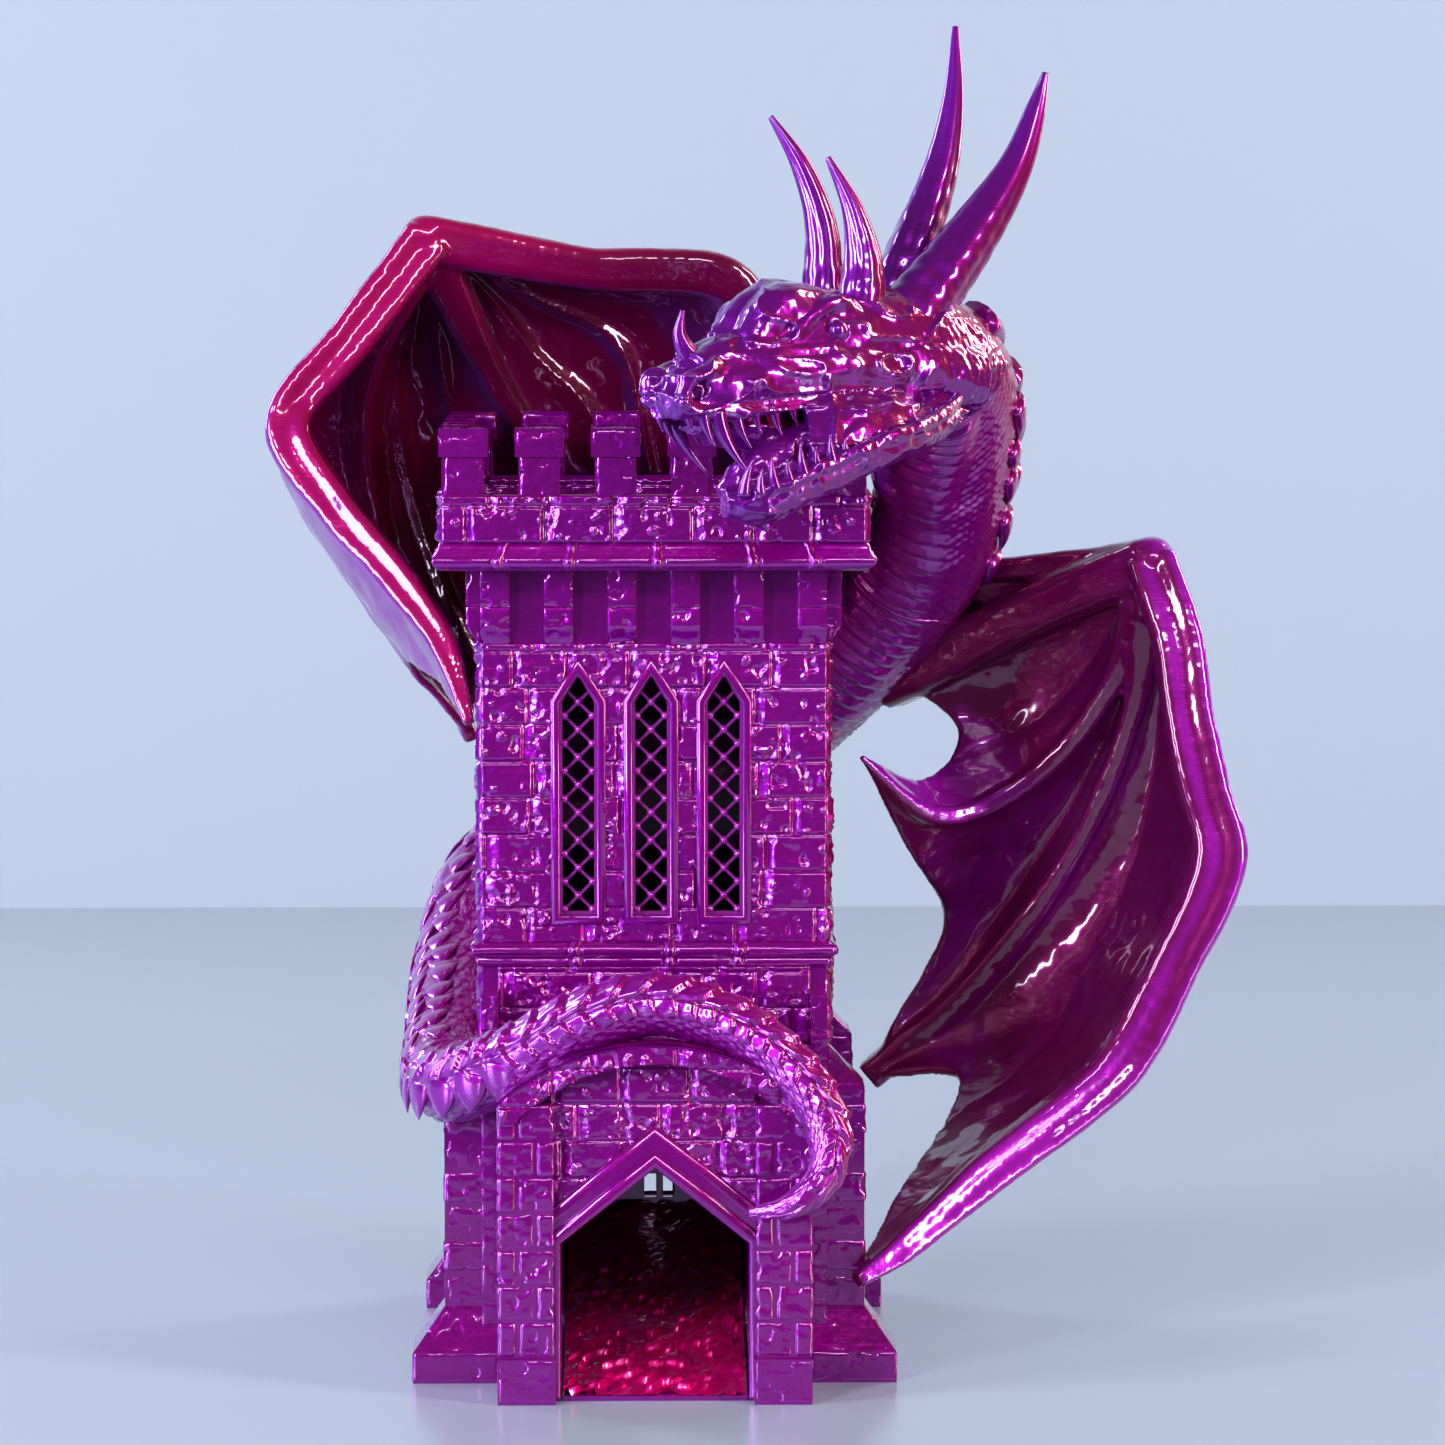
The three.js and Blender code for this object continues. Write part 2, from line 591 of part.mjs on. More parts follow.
const HORNS = {
  horn_large_far: [[45.5, -11, 211, 5.4], [50, -8, 219, 5.2], [54, -4, 229, 4.6], [59, 2, 242.5, 3.5], [61.8, 7, 256.5, 2.2], [62.5, 12, 271.6, 0.7]],
  horn_large_near: [[43, -23.5, 204, 6], [49.5, -20, 210, 6], [58.2, -15, 221, 5.4], [67.3, -9, 232.5, 4.4], [74.3, -4, 243.5, 3.2], [78.4, 0, 254.5, 2.1], [80.5, 2, 262, 0.7]],
  horn_small_far: [[34, -20, 209, 4.2], [34.4, -18, 218, 4], [33.6, -17, 232, 3.1], [29.6, -17, 243.5, 2], [23.7, -17, 253, 0.6]],
  horn_small_near: [[38.5, -29, 206, 4.4], [41, -29.5, 213.5, 4.1], [41.9, -29, 223.5, 3.4], [39.8, -29, 234.5, 2.1], [34.9, -29, 244.8, 0.6]],
  nose_horn: [[11, -56.5, 202, 2.8], [7, -58, 206, 2.2], [5, -58.6, 210, 1.4], [5.6, -58.6, 215, 0.4]],
};

// A wing: an arm from the back to the wrist, a leading finger and two inner fingers, with webs
// between them. Each bone is a list of x, y, z, radius.
const RIGHT_WING = {
  arm: [[50, 46, 133, 6.5], [62, 38, 139, 6], [82, 26, 150.5, 5.4], [103.5, 10, 161, 5.6]],
  brow: [[58, 38, 157, 2.4], [76, 29, 158.6, 2.4], [92, 19, 160.6, 3], [103.5, 10, 161, 5.6]],
  lead: [
    [103.5, 10, 161, 5.6], [108.3, 3, 146, 5.4], [110.2, -1, 131, 5.3], [113.6, -4, 115, 5.3],
    [116.6, -6, 101.5, 5.6], [107.5, -9, 80, 5.2], [95.5, -13, 59, 5.4], [66.5, -28, 38, 4.4],
    [49, -41.5, 25.5, 3], [40.5, -48, 20.5, 1.6],
  ],
  middle: [[103.5, 10, 161, 5.6], [101, 22, 130, 3.4], [88, 31, 96, 3], [66, 37, 66, 2.8], [47, 38.5, 48.5, 2.6]],
  inner: [[103.5, 10, 161, 5.6], [97, 21, 136, 3.2], [80, 27, 114, 3], [60, 19, 107, 2.8], [43, 8, 120.6, 0.8]],
};
const LEFT_WING = {
  arm: [[30, 57, 146, 6.5], [22, 57, 180, 6.2], [17.5, 47, 217, 5.6], [-14, 39, 221.5, 4.6], [-47.5, 28, 227.5, 5.4]],
  lead: [
    [-47.5, 28, 227.5, 5.4], [-62.5, 20, 208, 4.9], [-75.6, 13, 189.8, 5], [-66, 3, 173.5, 4.3],
    [-52.5, -9, 159, 3.8], [-42.5, -20, 146, 3], [-37.2, -29, 131, 1.4],
  ],
  middle: [[-47.5, 28, 227.5, 5.4], [-62, 40, 196, 3.2], [-60, 46, 166, 2.9], [-47, 42, 140, 2.6], [-38.5, 38.5, 121, 1.8]],
  inner: [[-47.5, 28, 227.5, 5.4], [-36, 46, 202, 3], [-22, 52, 176, 2.8], [-8, 52, 150, 2]],
};

const LEGS = {
  left_hind_leg: [[-12, 62, 101, 9], [-22, 66, 88, 7.6], [-30, 58, 74, 5.6], [-34.5, 50, 66, 4.2], [-35.5, 47.5, 55, 3.6], [-35, 46.5, 45, 2.4]],
  right_hind_leg: [[12, 67, 112, 9], [26, 68, 100, 7.6], [33, 59, 85, 5.6], [34.5, 50, 76, 4.2], [35, 47.5, 64, 3.6], [34.5, 46.5, 54, 2.4]],
};

// One piece of the spine between two shares of its curve.
function spinePiece(from, to, steps, grow = 0) {
  return spine.solid({ from, to, steps, sides: 14, grow });
}

function bones(list) {
  return Object.values(list).map((stations) =>
    limb(stations).solid({ sides: 8, steps: 3 * (stations.length - 1) }),
  );
}

const rail = (stations) => limb(stations).curve;

function rightWing() {
  const { arm, brow, lead, middle, inner } = RIGHT_WING;
  const back = rail([...arm].reverse());
  const webs = [
    web(rail(lead), rail(middle), { bulge: vec([4, 13, -3]), scoop: 0.28 }),
    web(rail(middle), rail(inner), { bulge: vec([0, 9, -2]), scoop: 0.3 }),
    web(rail(inner), back, { bulge: vec([0, 6, 0]), scoop: 0.34 }),
    web(back, rail([...brow].reverse()), { bulge: vec([0, 2, 0]), scoop: 0.05 }),
  ];
  return union([...bones(RIGHT_WING), ...webs]);
}

function leftWing() {
  const { arm, lead, middle, inner } = LEFT_WING;
  const back = rail([...arm].reverse());
  const webs = [
    web(rail(lead), rail(middle), { bulge: vec([-8, 5, -3]), scoop: 0.2 }),
    web(rail(middle), rail(inner), { bulge: vec([-3, 9, 0]), scoop: 0.2 }),
    web(rail(inner), back, { bulge: vec([0, 6, 2]), scoop: 0.2 }),
  ];
  return union([...bones(LEFT_WING), ...webs]);
}

function buildDragon(add) {
  const envelope = towerEnvelope();
  const { tail, hip, shoulder, head } = CUTS;
  const body = (from, to, steps) => spinePiece(from + GLUE, to - GLUE, steps).subtract(envelope);
  const joint = (piece, t) => piece.subtract(spine.peg(t, GAP));
  const pinned = (piece, t) => piece.add(spine.peg(t).subtract(envelope));
  const grown = spinePiece(0, 1, 60, 2 * GAP);

  add("tail_front", joint(body(0, tail, 24), tail));
  add("tail_base", joint(pinned(body(tail, hip, 11), tail), hip));
  add("torso", joint(pinned(body(hip, shoulder, 10), hip), shoulder));
  add("neck", joint(pinned(body(shoulder, head, 9), shoulder), head));

  const features = (grow) =>
    union(SKULL.map((row) => limb(row).solid({ sides: 10, steps: 2 * (row.length - 1), grow })));
  const bare = body(head, 1, 14).add(features(0)).subtract(envelope);
  const skull = bare.subtract(spinePiece(0, head, 60, 2 * GAP)).add(spine.peg(head));
  const taken = [];
  for (const [name, stations] of Object.entries(HORNS)) {
    const horn = limb(stations);
    const steps = 2 * (stations.length - 1);
    const socket = horn.solid({ sides: 8, steps, grow: GAP }).add(horn.foot(GAP));
    const made = horn.solid({ sides: 8, steps });
    add(name, taken.length ? made.subtract(union(taken)) : made);
    taken.push(socket);
  }
  add("skull", skull.subtract(union(taken)));

  const jaw = limb(JAW).solid({ sides: 10, steps: 12 });
  add("lower_jaw", jaw.subtract(envelope).subtract(grown).subtract(features(GAP)));

  add("right_wing", rightWing().subtract(envelope).subtract(grown));
  add("left_wing", leftWing().subtract(envelope).subtract(grown));
  for (const [name, stations] of Object.entries(LEGS)) {
    add(name, limb(stations).solid({ sides: 10, steps: 10 }).subtract(envelope).subtract(grown));
  }
}

function buildTower(add) {
  add("lower_stage", lowerStage());
  add("porch", porch());
  add("exit_ramp", ramp());
  add("upper_stage", upperStage());
  add("crown", crown());
  for (const baffle of BAFFLES) add(baffle.name, baffleBand(baffle, 0, BAFFLE.thick, -INNER + GAP, INNER - GAP));
  const names = ["lattice_left", "lattice_middle", "lattice_right"];
  names.forEach((name, i) => add(name, lattice(windowCentres[i])));
}

// ---------------------------------------------------------------- the scene graph
const SILK = { color: 0x8a0f78, roughness: 0.28, metalness: 0.45 };

function meshOf(name, made) {
  const mesh = new THREE.Mesh(geometryOf(mainBody(made)), new THREE.MeshStandardMaterial(SILK));
  mesh.name = name;
  return mesh;
}

const tower = new THREE.Group();
const add = (name, made) => tower.add(meshOf(name, made));
buildTower(add);
buildDragon(add);

export default tower;
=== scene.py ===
import bpy
import math
import numpy as np
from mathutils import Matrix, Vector


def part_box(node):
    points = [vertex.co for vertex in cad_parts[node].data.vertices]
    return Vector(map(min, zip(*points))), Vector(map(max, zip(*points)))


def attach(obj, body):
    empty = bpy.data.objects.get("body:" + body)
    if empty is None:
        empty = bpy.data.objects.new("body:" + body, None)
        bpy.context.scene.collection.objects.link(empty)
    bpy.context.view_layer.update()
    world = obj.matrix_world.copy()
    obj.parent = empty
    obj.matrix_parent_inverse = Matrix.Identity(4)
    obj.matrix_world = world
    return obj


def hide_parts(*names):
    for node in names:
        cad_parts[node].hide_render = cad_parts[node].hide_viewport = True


# A castle dice tower with a dragon wrapped round it, printed in two-colour silk filament.
# Shapes are worked out in millimetres in the CAD's frame and written to the meshes in metres.
MM = 0.001
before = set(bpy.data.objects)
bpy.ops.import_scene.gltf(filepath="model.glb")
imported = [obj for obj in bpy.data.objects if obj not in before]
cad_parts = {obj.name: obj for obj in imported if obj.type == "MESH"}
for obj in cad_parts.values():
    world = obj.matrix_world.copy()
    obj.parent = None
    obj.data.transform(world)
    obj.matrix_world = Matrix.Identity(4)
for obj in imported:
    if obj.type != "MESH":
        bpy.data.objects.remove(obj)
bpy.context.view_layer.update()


def cad(node):
    lo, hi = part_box(node)
    return np.array(lo) / MM, np.array(hi) / MM


# Driving sizes: the glue line, the shaft's wall, and the tower's levels and half widths.
GAP = 0.3
WALL = 3.6
SHAFT = cad("baffle_lower")[1][0] + GAP + WALL
SPLIT = cad("lower_stage")[1][2]
SHAFT_TOP = cad("upper_stage")[1][2]
CORNICE = cad("crown")[1][0]
FOOT = cad("lower_stage")[1][0]
PORCH_HALF = cad("porch")[1][0]
PORCH_TOP = cad("porch")[1][2]
PLINTH_FRONT = -cad("porch")[0][1]
COURSE = 7.4


# ---------------------------------------------------------------- noise and mesh helpers
def lattice_value(ix, iy, iz, seed):
    n = (ix * 73856093) ^ (iy * 19349663) ^ (iz * 83492791) ^ (seed * 2654435761)
    n = (n ^ (n >> 13)) * 1274126177
    n = n & 0x7FFFFFFF
    n = (n ^ (n >> 16)) & 0xFFFF
    return n / 65535.0 * 2 - 1


def noise(p, size, seed=0, octaves=2):
    """Smooth noise between -1 and 1 at points p, with features about size across."""
    p = np.asarray(p, float)
    total = np.zeros(p.shape[:-1])
    weight = 1.0
    whole = 0.0
    for octave in range(octaves):
        q = p / np.asarray(size, float) * 2**octave + 100.0
        i = np.floor(q).astype(np.int64)
        f = q - i
        f = f * f * (3 - 2 * f)
        value = 0
        for dx, dy, dz in np.ndindex(2, 2, 2):
            share = (
                (f[..., 0] if dx else 1 - f[..., 0])
                * (f[..., 1] if dy else 1 - f[..., 1])
                * (f[..., 2] if dz else 1 - f[..., 2])
            )
            corner = lattice_value(i[..., 0] + dx, i[..., 1] + dy, i[..., 2] + dz, seed + octave)
            value = value + share * corner
        total += weight * value
        whole += weight
        weight *= 0.5
    return total / whole


def smooth(a, b, x):
    t = np.clip((x - a) / (b - a), 0, 1)
    return t * t * (3 - 2 * t)


def unit(v):
    return v / np.maximum(np.linalg.norm(v, axis=-1, keepdims=True), 1e-9)


class Shell:
    """A mesh put together from several sets of points and faces."""

    def __init__(self):
        self.points, self.faces, self.count = [], [], 0

    def add(self, points, faces):
        points = np.asarray(points, float).reshape(-1, 3)
        for f in faces:
            self.faces.append(np.asarray(f, np.int64) + self.count)
        self.points.append(points)
        self.count += len(points)
        return self

    def all_points(self):
        return np.concatenate(self.points)


def grid_faces(nu, nv, wrap=False):
    i, j = np.meshgrid(np.arange(nu - 1), np.arange(nv if wrap else nv - 1), indexing="ij")
    k = (j + 1) % nv
    return np.stack([i * nv + j, (i + 1) * nv + j, (i + 1) * nv + k, i * nv + k], -1).reshape(-1, 4)


def add_object(name, data):
    obj = bpy.data.objects.new(name, data)
    bpy.context.scene.collection.objects.link(obj)
    return obj


def make(name, shell, node=None, slot="dragon_silk", material=None, shade=True):
    """A visible piece of the object. It replaces a CAD node, or adds to one if none is named."""
    points = shell.all_points()
    points[:, 2] = np.maximum(points[:, 2], 0)
    mesh = bpy.data.meshes.new(name)
    mesh.vertices.add(len(points))
    mesh.vertices.foreach_set("co", (points * MM).astype(np.float32).ravel())
    loops = np.concatenate([f.ravel() for f in shell.faces])
    sizes = np.concatenate([np.full(len(f), f.shape[1]) for f in shell.faces])
    mesh.loops.add(len(loops))
    mesh.loops.foreach_set("vertex_index", loops.astype(np.int32))
    mesh.polygons.add(len(sizes))
    mesh.polygons.foreach_set("loop_start", (np.cumsum(sizes) - sizes).astype(np.int32))
    mesh.update(calc_edges=True)
    mesh.validate()
    if shade:
        mesh.polygons.foreach_set("use_smooth", np.ones(len(mesh.polygons), bool))
    mesh.materials.append(material or MATERIALS[slot])
    obj = add_object(name, mesh)
    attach(obj, "root")
    if node:
        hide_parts(node)


# ---------------------------------------------------------------- material
class NodeTree:
    """A new material's nodes, each made, set and linked in one call."""

    def __init__(self, name):
        self.material = bpy.data.materials.new(name)
        self.material.use_nodes = True
        self.nodes = self.material.node_tree.nodes
        self.links = self.material.node_tree.links
        self.nodes.clear()

    def add(self, kind, inputs, **settings):
        """A node of one kind. An input is given a number or colour, or is linked to a socket."""
        node = self.nodes.new("ShaderNode" + kind)
        for key, value in settings.items():
            setattr(node, key, value)
        for key, value in inputs.items():
            if isinstance(value, bpy.types.NodeSocket):
                self.links.new(value, node.inputs[key])
            else:
                node.inputs[key].default_value = value
        return node


# Painted shade in deep hollows: how dark it gets, and how much a surface's facing adds to its depth.
PAINTED_SHADE_DARKEST = 0.34
PAINTED_SHADE_FACING = -0.02


def silk(name, relief, fine, tones, metal=0.6, deep=None):
    """Two-colour silk filament: the colour turns with the side a surface faces, over layer lines. With deep
    given, painted shade darkens it with depth.
    """
    tree = NodeTree(name)
    facing = tree.add("SeparateXYZ", {0: tree.add("NewGeometry", {}).outputs["Normal"]})
    place = tree.add("TexCoord", {}).outputs["Object"]

    # how far a surface faces to the right or left, a little broken up from place to place
    drift = tree.add("TexNoise", {"Vector": place, "Scale": 28, "Detail": 2})
    sway = tree.add("Math", {0: drift.outputs["Fac"], 1: 0.5, 2: -0.25}, operation="MULTIPLY_ADD")
    lift = tree.add(
        "Math", {0: facing.outputs["Z"], 1: 0.45, 2: facing.outputs["X"]}, operation="MULTIPLY_ADD"
    )
    turn = tree.add("Math", {0: lift.outputs[0], 1: sway.outputs[0]}, operation="ADD")
    side = tree.add("MapRange", {"Value": turn.outputs[0], "From Min": -1, "From Max": 1})
    ramp = tree.add("ValToRGB", {"Fac": side.outputs["Result"]})
    stops = ramp.color_ramp.elements
    for stop, (position, *colour) in ((stops[0], tones[0]), (stops[1], tones[-1])):
        stop.position, stop.color = position, (*colour, 1)
    for position, *colour in tones[1:-1]:
        stops.new(position).color = (*colour, 1)
    colour = ramp.outputs["Color"]
    if deep:
        # painted shade: a hollow's colour darkens with its depth behind the tower's front, standing in for
        # the shadow there
        depth = tree.add("SeparateXYZ", {0: place}).outputs["Y"]
        painted_shade_depth = tree.add(
            "Math", {0: facing.outputs["Y"], 1: PAINTED_SHADE_FACING, 2: depth}, operation="MULTIPLY_ADD"
        )
        fade = tree.add("MapRange", {
            "Value": painted_shade_depth.outputs[0], "From Min": deep[0], "From Max": deep[1],
            "To Min": 1, "To Max": PAINTED_SHADE_DARKEST,
        })
        painted_shade = tree.add("VectorMath", {0: colour, "Scale": fade.outputs["Result"]}, operation="SCALE")
        colour = painted_shade.outputs[0]

    # layer lines: noise drawn out flat, and a rougher grain over it
    stretch = tree.add("Mapping", {"Vector": place, "Scale": (60, 60, 2400)})
    layers = tree.add("TexNoise", {"Vector": stretch.outputs["Vector"], "Scale": 1, "Detail": 2})
    grain = tree.add("TexNoise", {"Vector": place, "Scale": fine, "Detail": 4}).outputs["Fac"]
    lines = tree.add("Bump", {"Height": layers.outputs["Fac"], "Strength": 0.35, "Distance": 0.0002})
    rough = tree.add("Bump", {
        "Height": grain, "Normal": lines.outputs["Normal"], "Strength": relief, "Distance": 0.0006,
    })
    shader = tree.add("BsdfPrincipled", {
        "Base Color": colour,
        "Normal": rough.outputs["Normal"],
        "Roughness": tree.add("MapRange", {"Value": grain, "To Min": 0.24, "To Max": 0.36}).outputs["Result"],
        "Tangent": tree.add("Tangent", {}, direction_type="RADIAL", axis="Z").outputs["Tangent"],
        "Metallic": metal,
        "Specular IOR Level": 0.05,
        "Anisotropic": 0.5,
        "Anisotropic Rotation": 0.25,
        "Coat Weight": 1.0,
        "Coat IOR": 1.6,
        "Coat Roughness": 0.07,
    })
    tree.add("OutputMaterial", {"Surface": shader.outputs["BSDF"]})
    return tree.material


# For each silk, from the side that faces left to the one that faces right: place, red, green, blue.
TOWER_TONES = (
    (0.08, 0.2, 0.001, 0.34), (0.4, 0.21, 0.0005, 0.24), (0.6, 0.23, 0.0005, 0.18),
    (0.95, 0.3, 0.0003, 0.08),
)
# Painted light: the window bars get a paler, lighter copy of the tower's silk, standing in for the light they
# catch.
LIT_LATTICE_TONES = (
    (0.1, 0.5, 0.06, 0.6), (0.4, 0.5, 0.04, 0.5), (0.7, 0.5, 0.03, 0.42), (0.95, 0.5, 0.02, 0.3),
)
# Painted shade: the baffles inside the shaft get a near-black copy of the silk, standing in for the dark
# inside the tower.
SHADED_INSIDE_TONES = tuple(
    (place, 0.05, 0.0005, blue) for place, blue in ((0.1, 0.06), (0.4, 0.05), (0.7, 0.04), (0.95, 0.03))
)
DRAGON_TONES = (
    (0.08, 0.26, 0.008, 0.38), (0.4, 0.22, 0.003, 0.25), (0.62, 0.26, 0.002, 0.2),
    (0.8, 0.32, 0.001, 0.15), (0.97, 0.38, 0.0005, 0.08),
)
HEAD_TONES = (
    (0.08, 0.14, 0.008, 0.3), (0.45, 0.14, 0.003, 0.22), (0.7, 0.16, 0.002, 0.19),
    (0.86, 0.22, 0.001, 0.12), (0.97, 0.34, 0.0005, 0.05),
)
LEFT_WING_TONES = (
    (0.06, 0.2, 0.035, 0.3), (0.27, 0.19, 0.015, 0.23), (0.38, 0.27, 0.001, 0.09),
    (0.95, 0.33, 0.001, 0.05),
)
RIGHT_WING_TONES = (
    (0.1, 0.12, 0.002, 0.08), (0.46, 0.14, 0.002, 0.07), (0.64, 0.24, 0.004, 0.22),
    (0.95, 0.34, 0.005, 0.34),
)
# The ramp's own crimson, made brighter than the tower's silk as painted light falling in through the door.
LIT_RAMP_TONES = (
    (0.1, 0.62, 0.003, 0.2), (0.4, 0.62, 0.002, 0.16), (0.7, 0.66, 0.001, 0.14), (0.95, 0.7, 0.001, 0.1),
)
MATERIALS = {
    "tower_silk": silk("tower_silk", 0.35, 500, TOWER_TONES),
    "dragon_silk": silk("dragon_silk", 0.08, 700, DRAGON_TONES),
    # the left wing's silk carries painted shade, darkening its hollow from y 42 to 58 mm
    "left_wing": silk("left_wing_silk", 0.08, 700, LEFT_WING_TONES, 0.25, (0.042, 0.058)),
    "right_wing": silk("right_wing_silk", 0.08, 700, RIGHT_WING_TONES, 0.35),
    "head": silk("head_silk", 0.08, 700, HEAD_TONES),
    "lattice": silk("lit_lattice_silk", 0.2, 500, LIT_LATTICE_TONES),
    "inside": silk("painted_shade_inside_silk", 0.3, 500, SHADED_INSIDE_TONES),
    "ramp": silk("lit_ramp_silk", 0.3, 500, LIT_RAMP_TONES),
}
# Window bars take the lattice silk with painted light, baffles the near-black inside silk with painted shade,
# every other part the tower's silk.
LOOKS = {"lattice": "lattice", "baffle": "inside"}
for key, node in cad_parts.items():
    node.data.materials.clear()
    node.data.materials.append(MATERIALS[LOOKS.get(key.split("_")[0], "tower_silk")])


# ---------------------------------------------------------------- curves and limbs
def catmull(points, t):
    """A centripetal Catmull-Rom curve through points, at shares t of it."""
    pts = np.asarray(points, float)
    n = len(pts)
    x = np.clip(t, 0, 1) * (n - 1)
    i = np.minimum(np.floor(x).astype(int), n - 2)
    w = (x - i)[:, None]
    ends = np.vstack([2 * pts[0] - pts[1], pts, 2 * pts[-1] - pts[-2]])
    p0, p1, p2, p3 = ends[i], ends[i + 1], ends[i + 2], ends[i + 3]

    def step(a, b):
        return np.maximum(((a - b) ** 2).sum(-1) ** 0.25, 1e-4)[:, None]

    d0, d1, d2 = step(p0, p1), step(p1, p2), step(p2, p3)
    t1 = ((p1 - p0) / d0 - (p2 - p0) / (d0 + d1) + (p2 - p1) / d1) * d1
    t2 = ((p2 - p1) / d1 - (p3 - p1) / (d1 + d2) + (p3 - p2) / d2) * d1
    return p1 + t1 * w + (3 * (p2 - p1) - 2 * t1 - t2) * w**2 + (2 * (p1 - p2) + t1 + t2) * w**3


class Path:
    """A limb's line: rows of x, y, z, radius and, if given, the way its back faces."""

    def __init__(self, rows, back=(0, 0, 1)):
        rows = np.asarray(rows, float)
        self.rows = rows[:, :3]
        n = len(rows)
        self.t = np.linspace(0, 1, 48 * (n - 1) + 1)
        line = catmull(self.rows, self.t)
        self.s = np.concatenate([[0], np.cumsum(np.linalg.norm(np.diff(line, axis=0), axis=1))])
        self.length = self.s[-1]
        where = self.t * (n - 1)
        radius = np.interp(where, np.arange(n), rows[:, 3])
        kernel = np.hanning(33)
        kernel /= kernel.sum()
        padded = np.concatenate([2 * radius[0] - radius[16:0:-1], radius, 2 * radius[-1] - radius[-2:-18:-1]])
        self.radius = np.maximum(np.convolve(padded, kernel, "valid"), 0.25)
        backs = rows[:, 4:7] if rows.shape[1] >= 7 else np.tile(np.asarray(back, float), (n, 1))
        self.backs = np.stack([np.interp(where, np.arange(n), backs[:, k]) for k in range(3)], 1)

    def at(self, s):
        s = np.asarray(s, float)
        t = np.interp(s, self.s, self.t)
        h = 1e-3
        place = catmull(self.rows, t)
        along = unit(catmull(self.rows, t + h) - catmull(self.rows, t - h))
        back = np.stack([np.interp(t, self.t, self.backs[:, k]) for k in range(3)], 1)
        side = unit(np.cross(along, back))
        return place, along, unit(np.cross(side, along)), side, np.interp(t, self.t, self.radius)

    def share(self, t):
        """The length along at a share of the stations."""
        return float(np.interp(t, self.t, self.s))


def skin(path, shape=None, start=0.0, end=None, step=0.7, around=48, wide=1.0):
    """A closed tube on a path. shape(s, angle, radius) adds to its radius, and angle 0 is the back."""
    end = path.length if end is None else end
    n = max(int((end - start) / step), 4)
    s = np.linspace(start, end, n)
    place, _, back, side, radius = path.at(s)
    angle = np.linspace(0, 2 * math.pi, around, endpoint=False)
    ss, aa = np.meshgrid(s, angle, indexing="ij")
    rr = np.repeat(radius[:, None], around, 1)
    if shape is not None:
        rr = rr + shape(ss, aa, rr)
    points = (
        place[:, None]
        + (rr * np.cos(aa))[..., None] * back[:, None]
        + (rr * np.sin(aa) * wide)[..., None] * side[:, None]
    )
    points = np.vstack([points.reshape(-1, 3), place[:1], place[-1:]])
    ring = np.arange(around)
    nxt = (ring + 1) % around
    first, last = len(points) - 2, len(points) - 1
    base = (n - 1) * around
    start_cap = np.stack([ring, nxt, np.full(around, first)], 1)
    end_cap = np.stack([base + nxt, base + ring, np.full(around, last)], 1)
    return points, [grid_faces(n, around, wrap=True), start_cap, end_cap]


THORN_STATIONS = 7
THINNEST = 0.22


def spike(shell, root, way, length, width, thick=None, lean=None, fall=1.3):
    """A curved, flattened thorn or plate. Its tip bends by lean, and its wide side lies across that."""
    root = np.asarray(root, float)
    way = unit(np.asarray(way, float))
    lean = np.zeros(3) if lean is None else np.asarray(lean, float)
    thick = width if thick is None else thick
    rows = []
    for k in range(THORN_STATIONS):
        f = k / (THORN_STATIONS - 1)
        p = root + way * length * f + lean * length * f * f
        rows.append([*p, max(width * (1 - f**fall), THINNEST)])
    flat = np.cross(way, unit(lean)) if np.linalg.norm(lean) > 1e-6 else np.array([0, 0, 1.0])
    if np.linalg.norm(flat) < 1e-3:
        flat = np.array([1.0, 0, 0])
    path = Path(rows, back=flat)
    shell.add(*skin(path, step=length / 12, around=12, wide=thick / width))


REACH = 0.75


def overlap(along, across):
    """Height, 0 to 1, of overlapping scales: along in rows, across in scales."""
    best = np.zeros_like(along)
    for behind in (0, 1):
        row = np.floor(along) - behind
        a = along - row
        k = across + 0.5 * np.mod(row, 2)
        b = (k - np.floor(k) - 0.5) * 2
        tip = 1 + REACH * (1 - np.abs(b) ** 1.6)
        best = np.maximum(best, np.where(a < tip, (a / (1 + REACH)) ** 0.8 * (1 - 0.45 * b * b), 0))
    return best


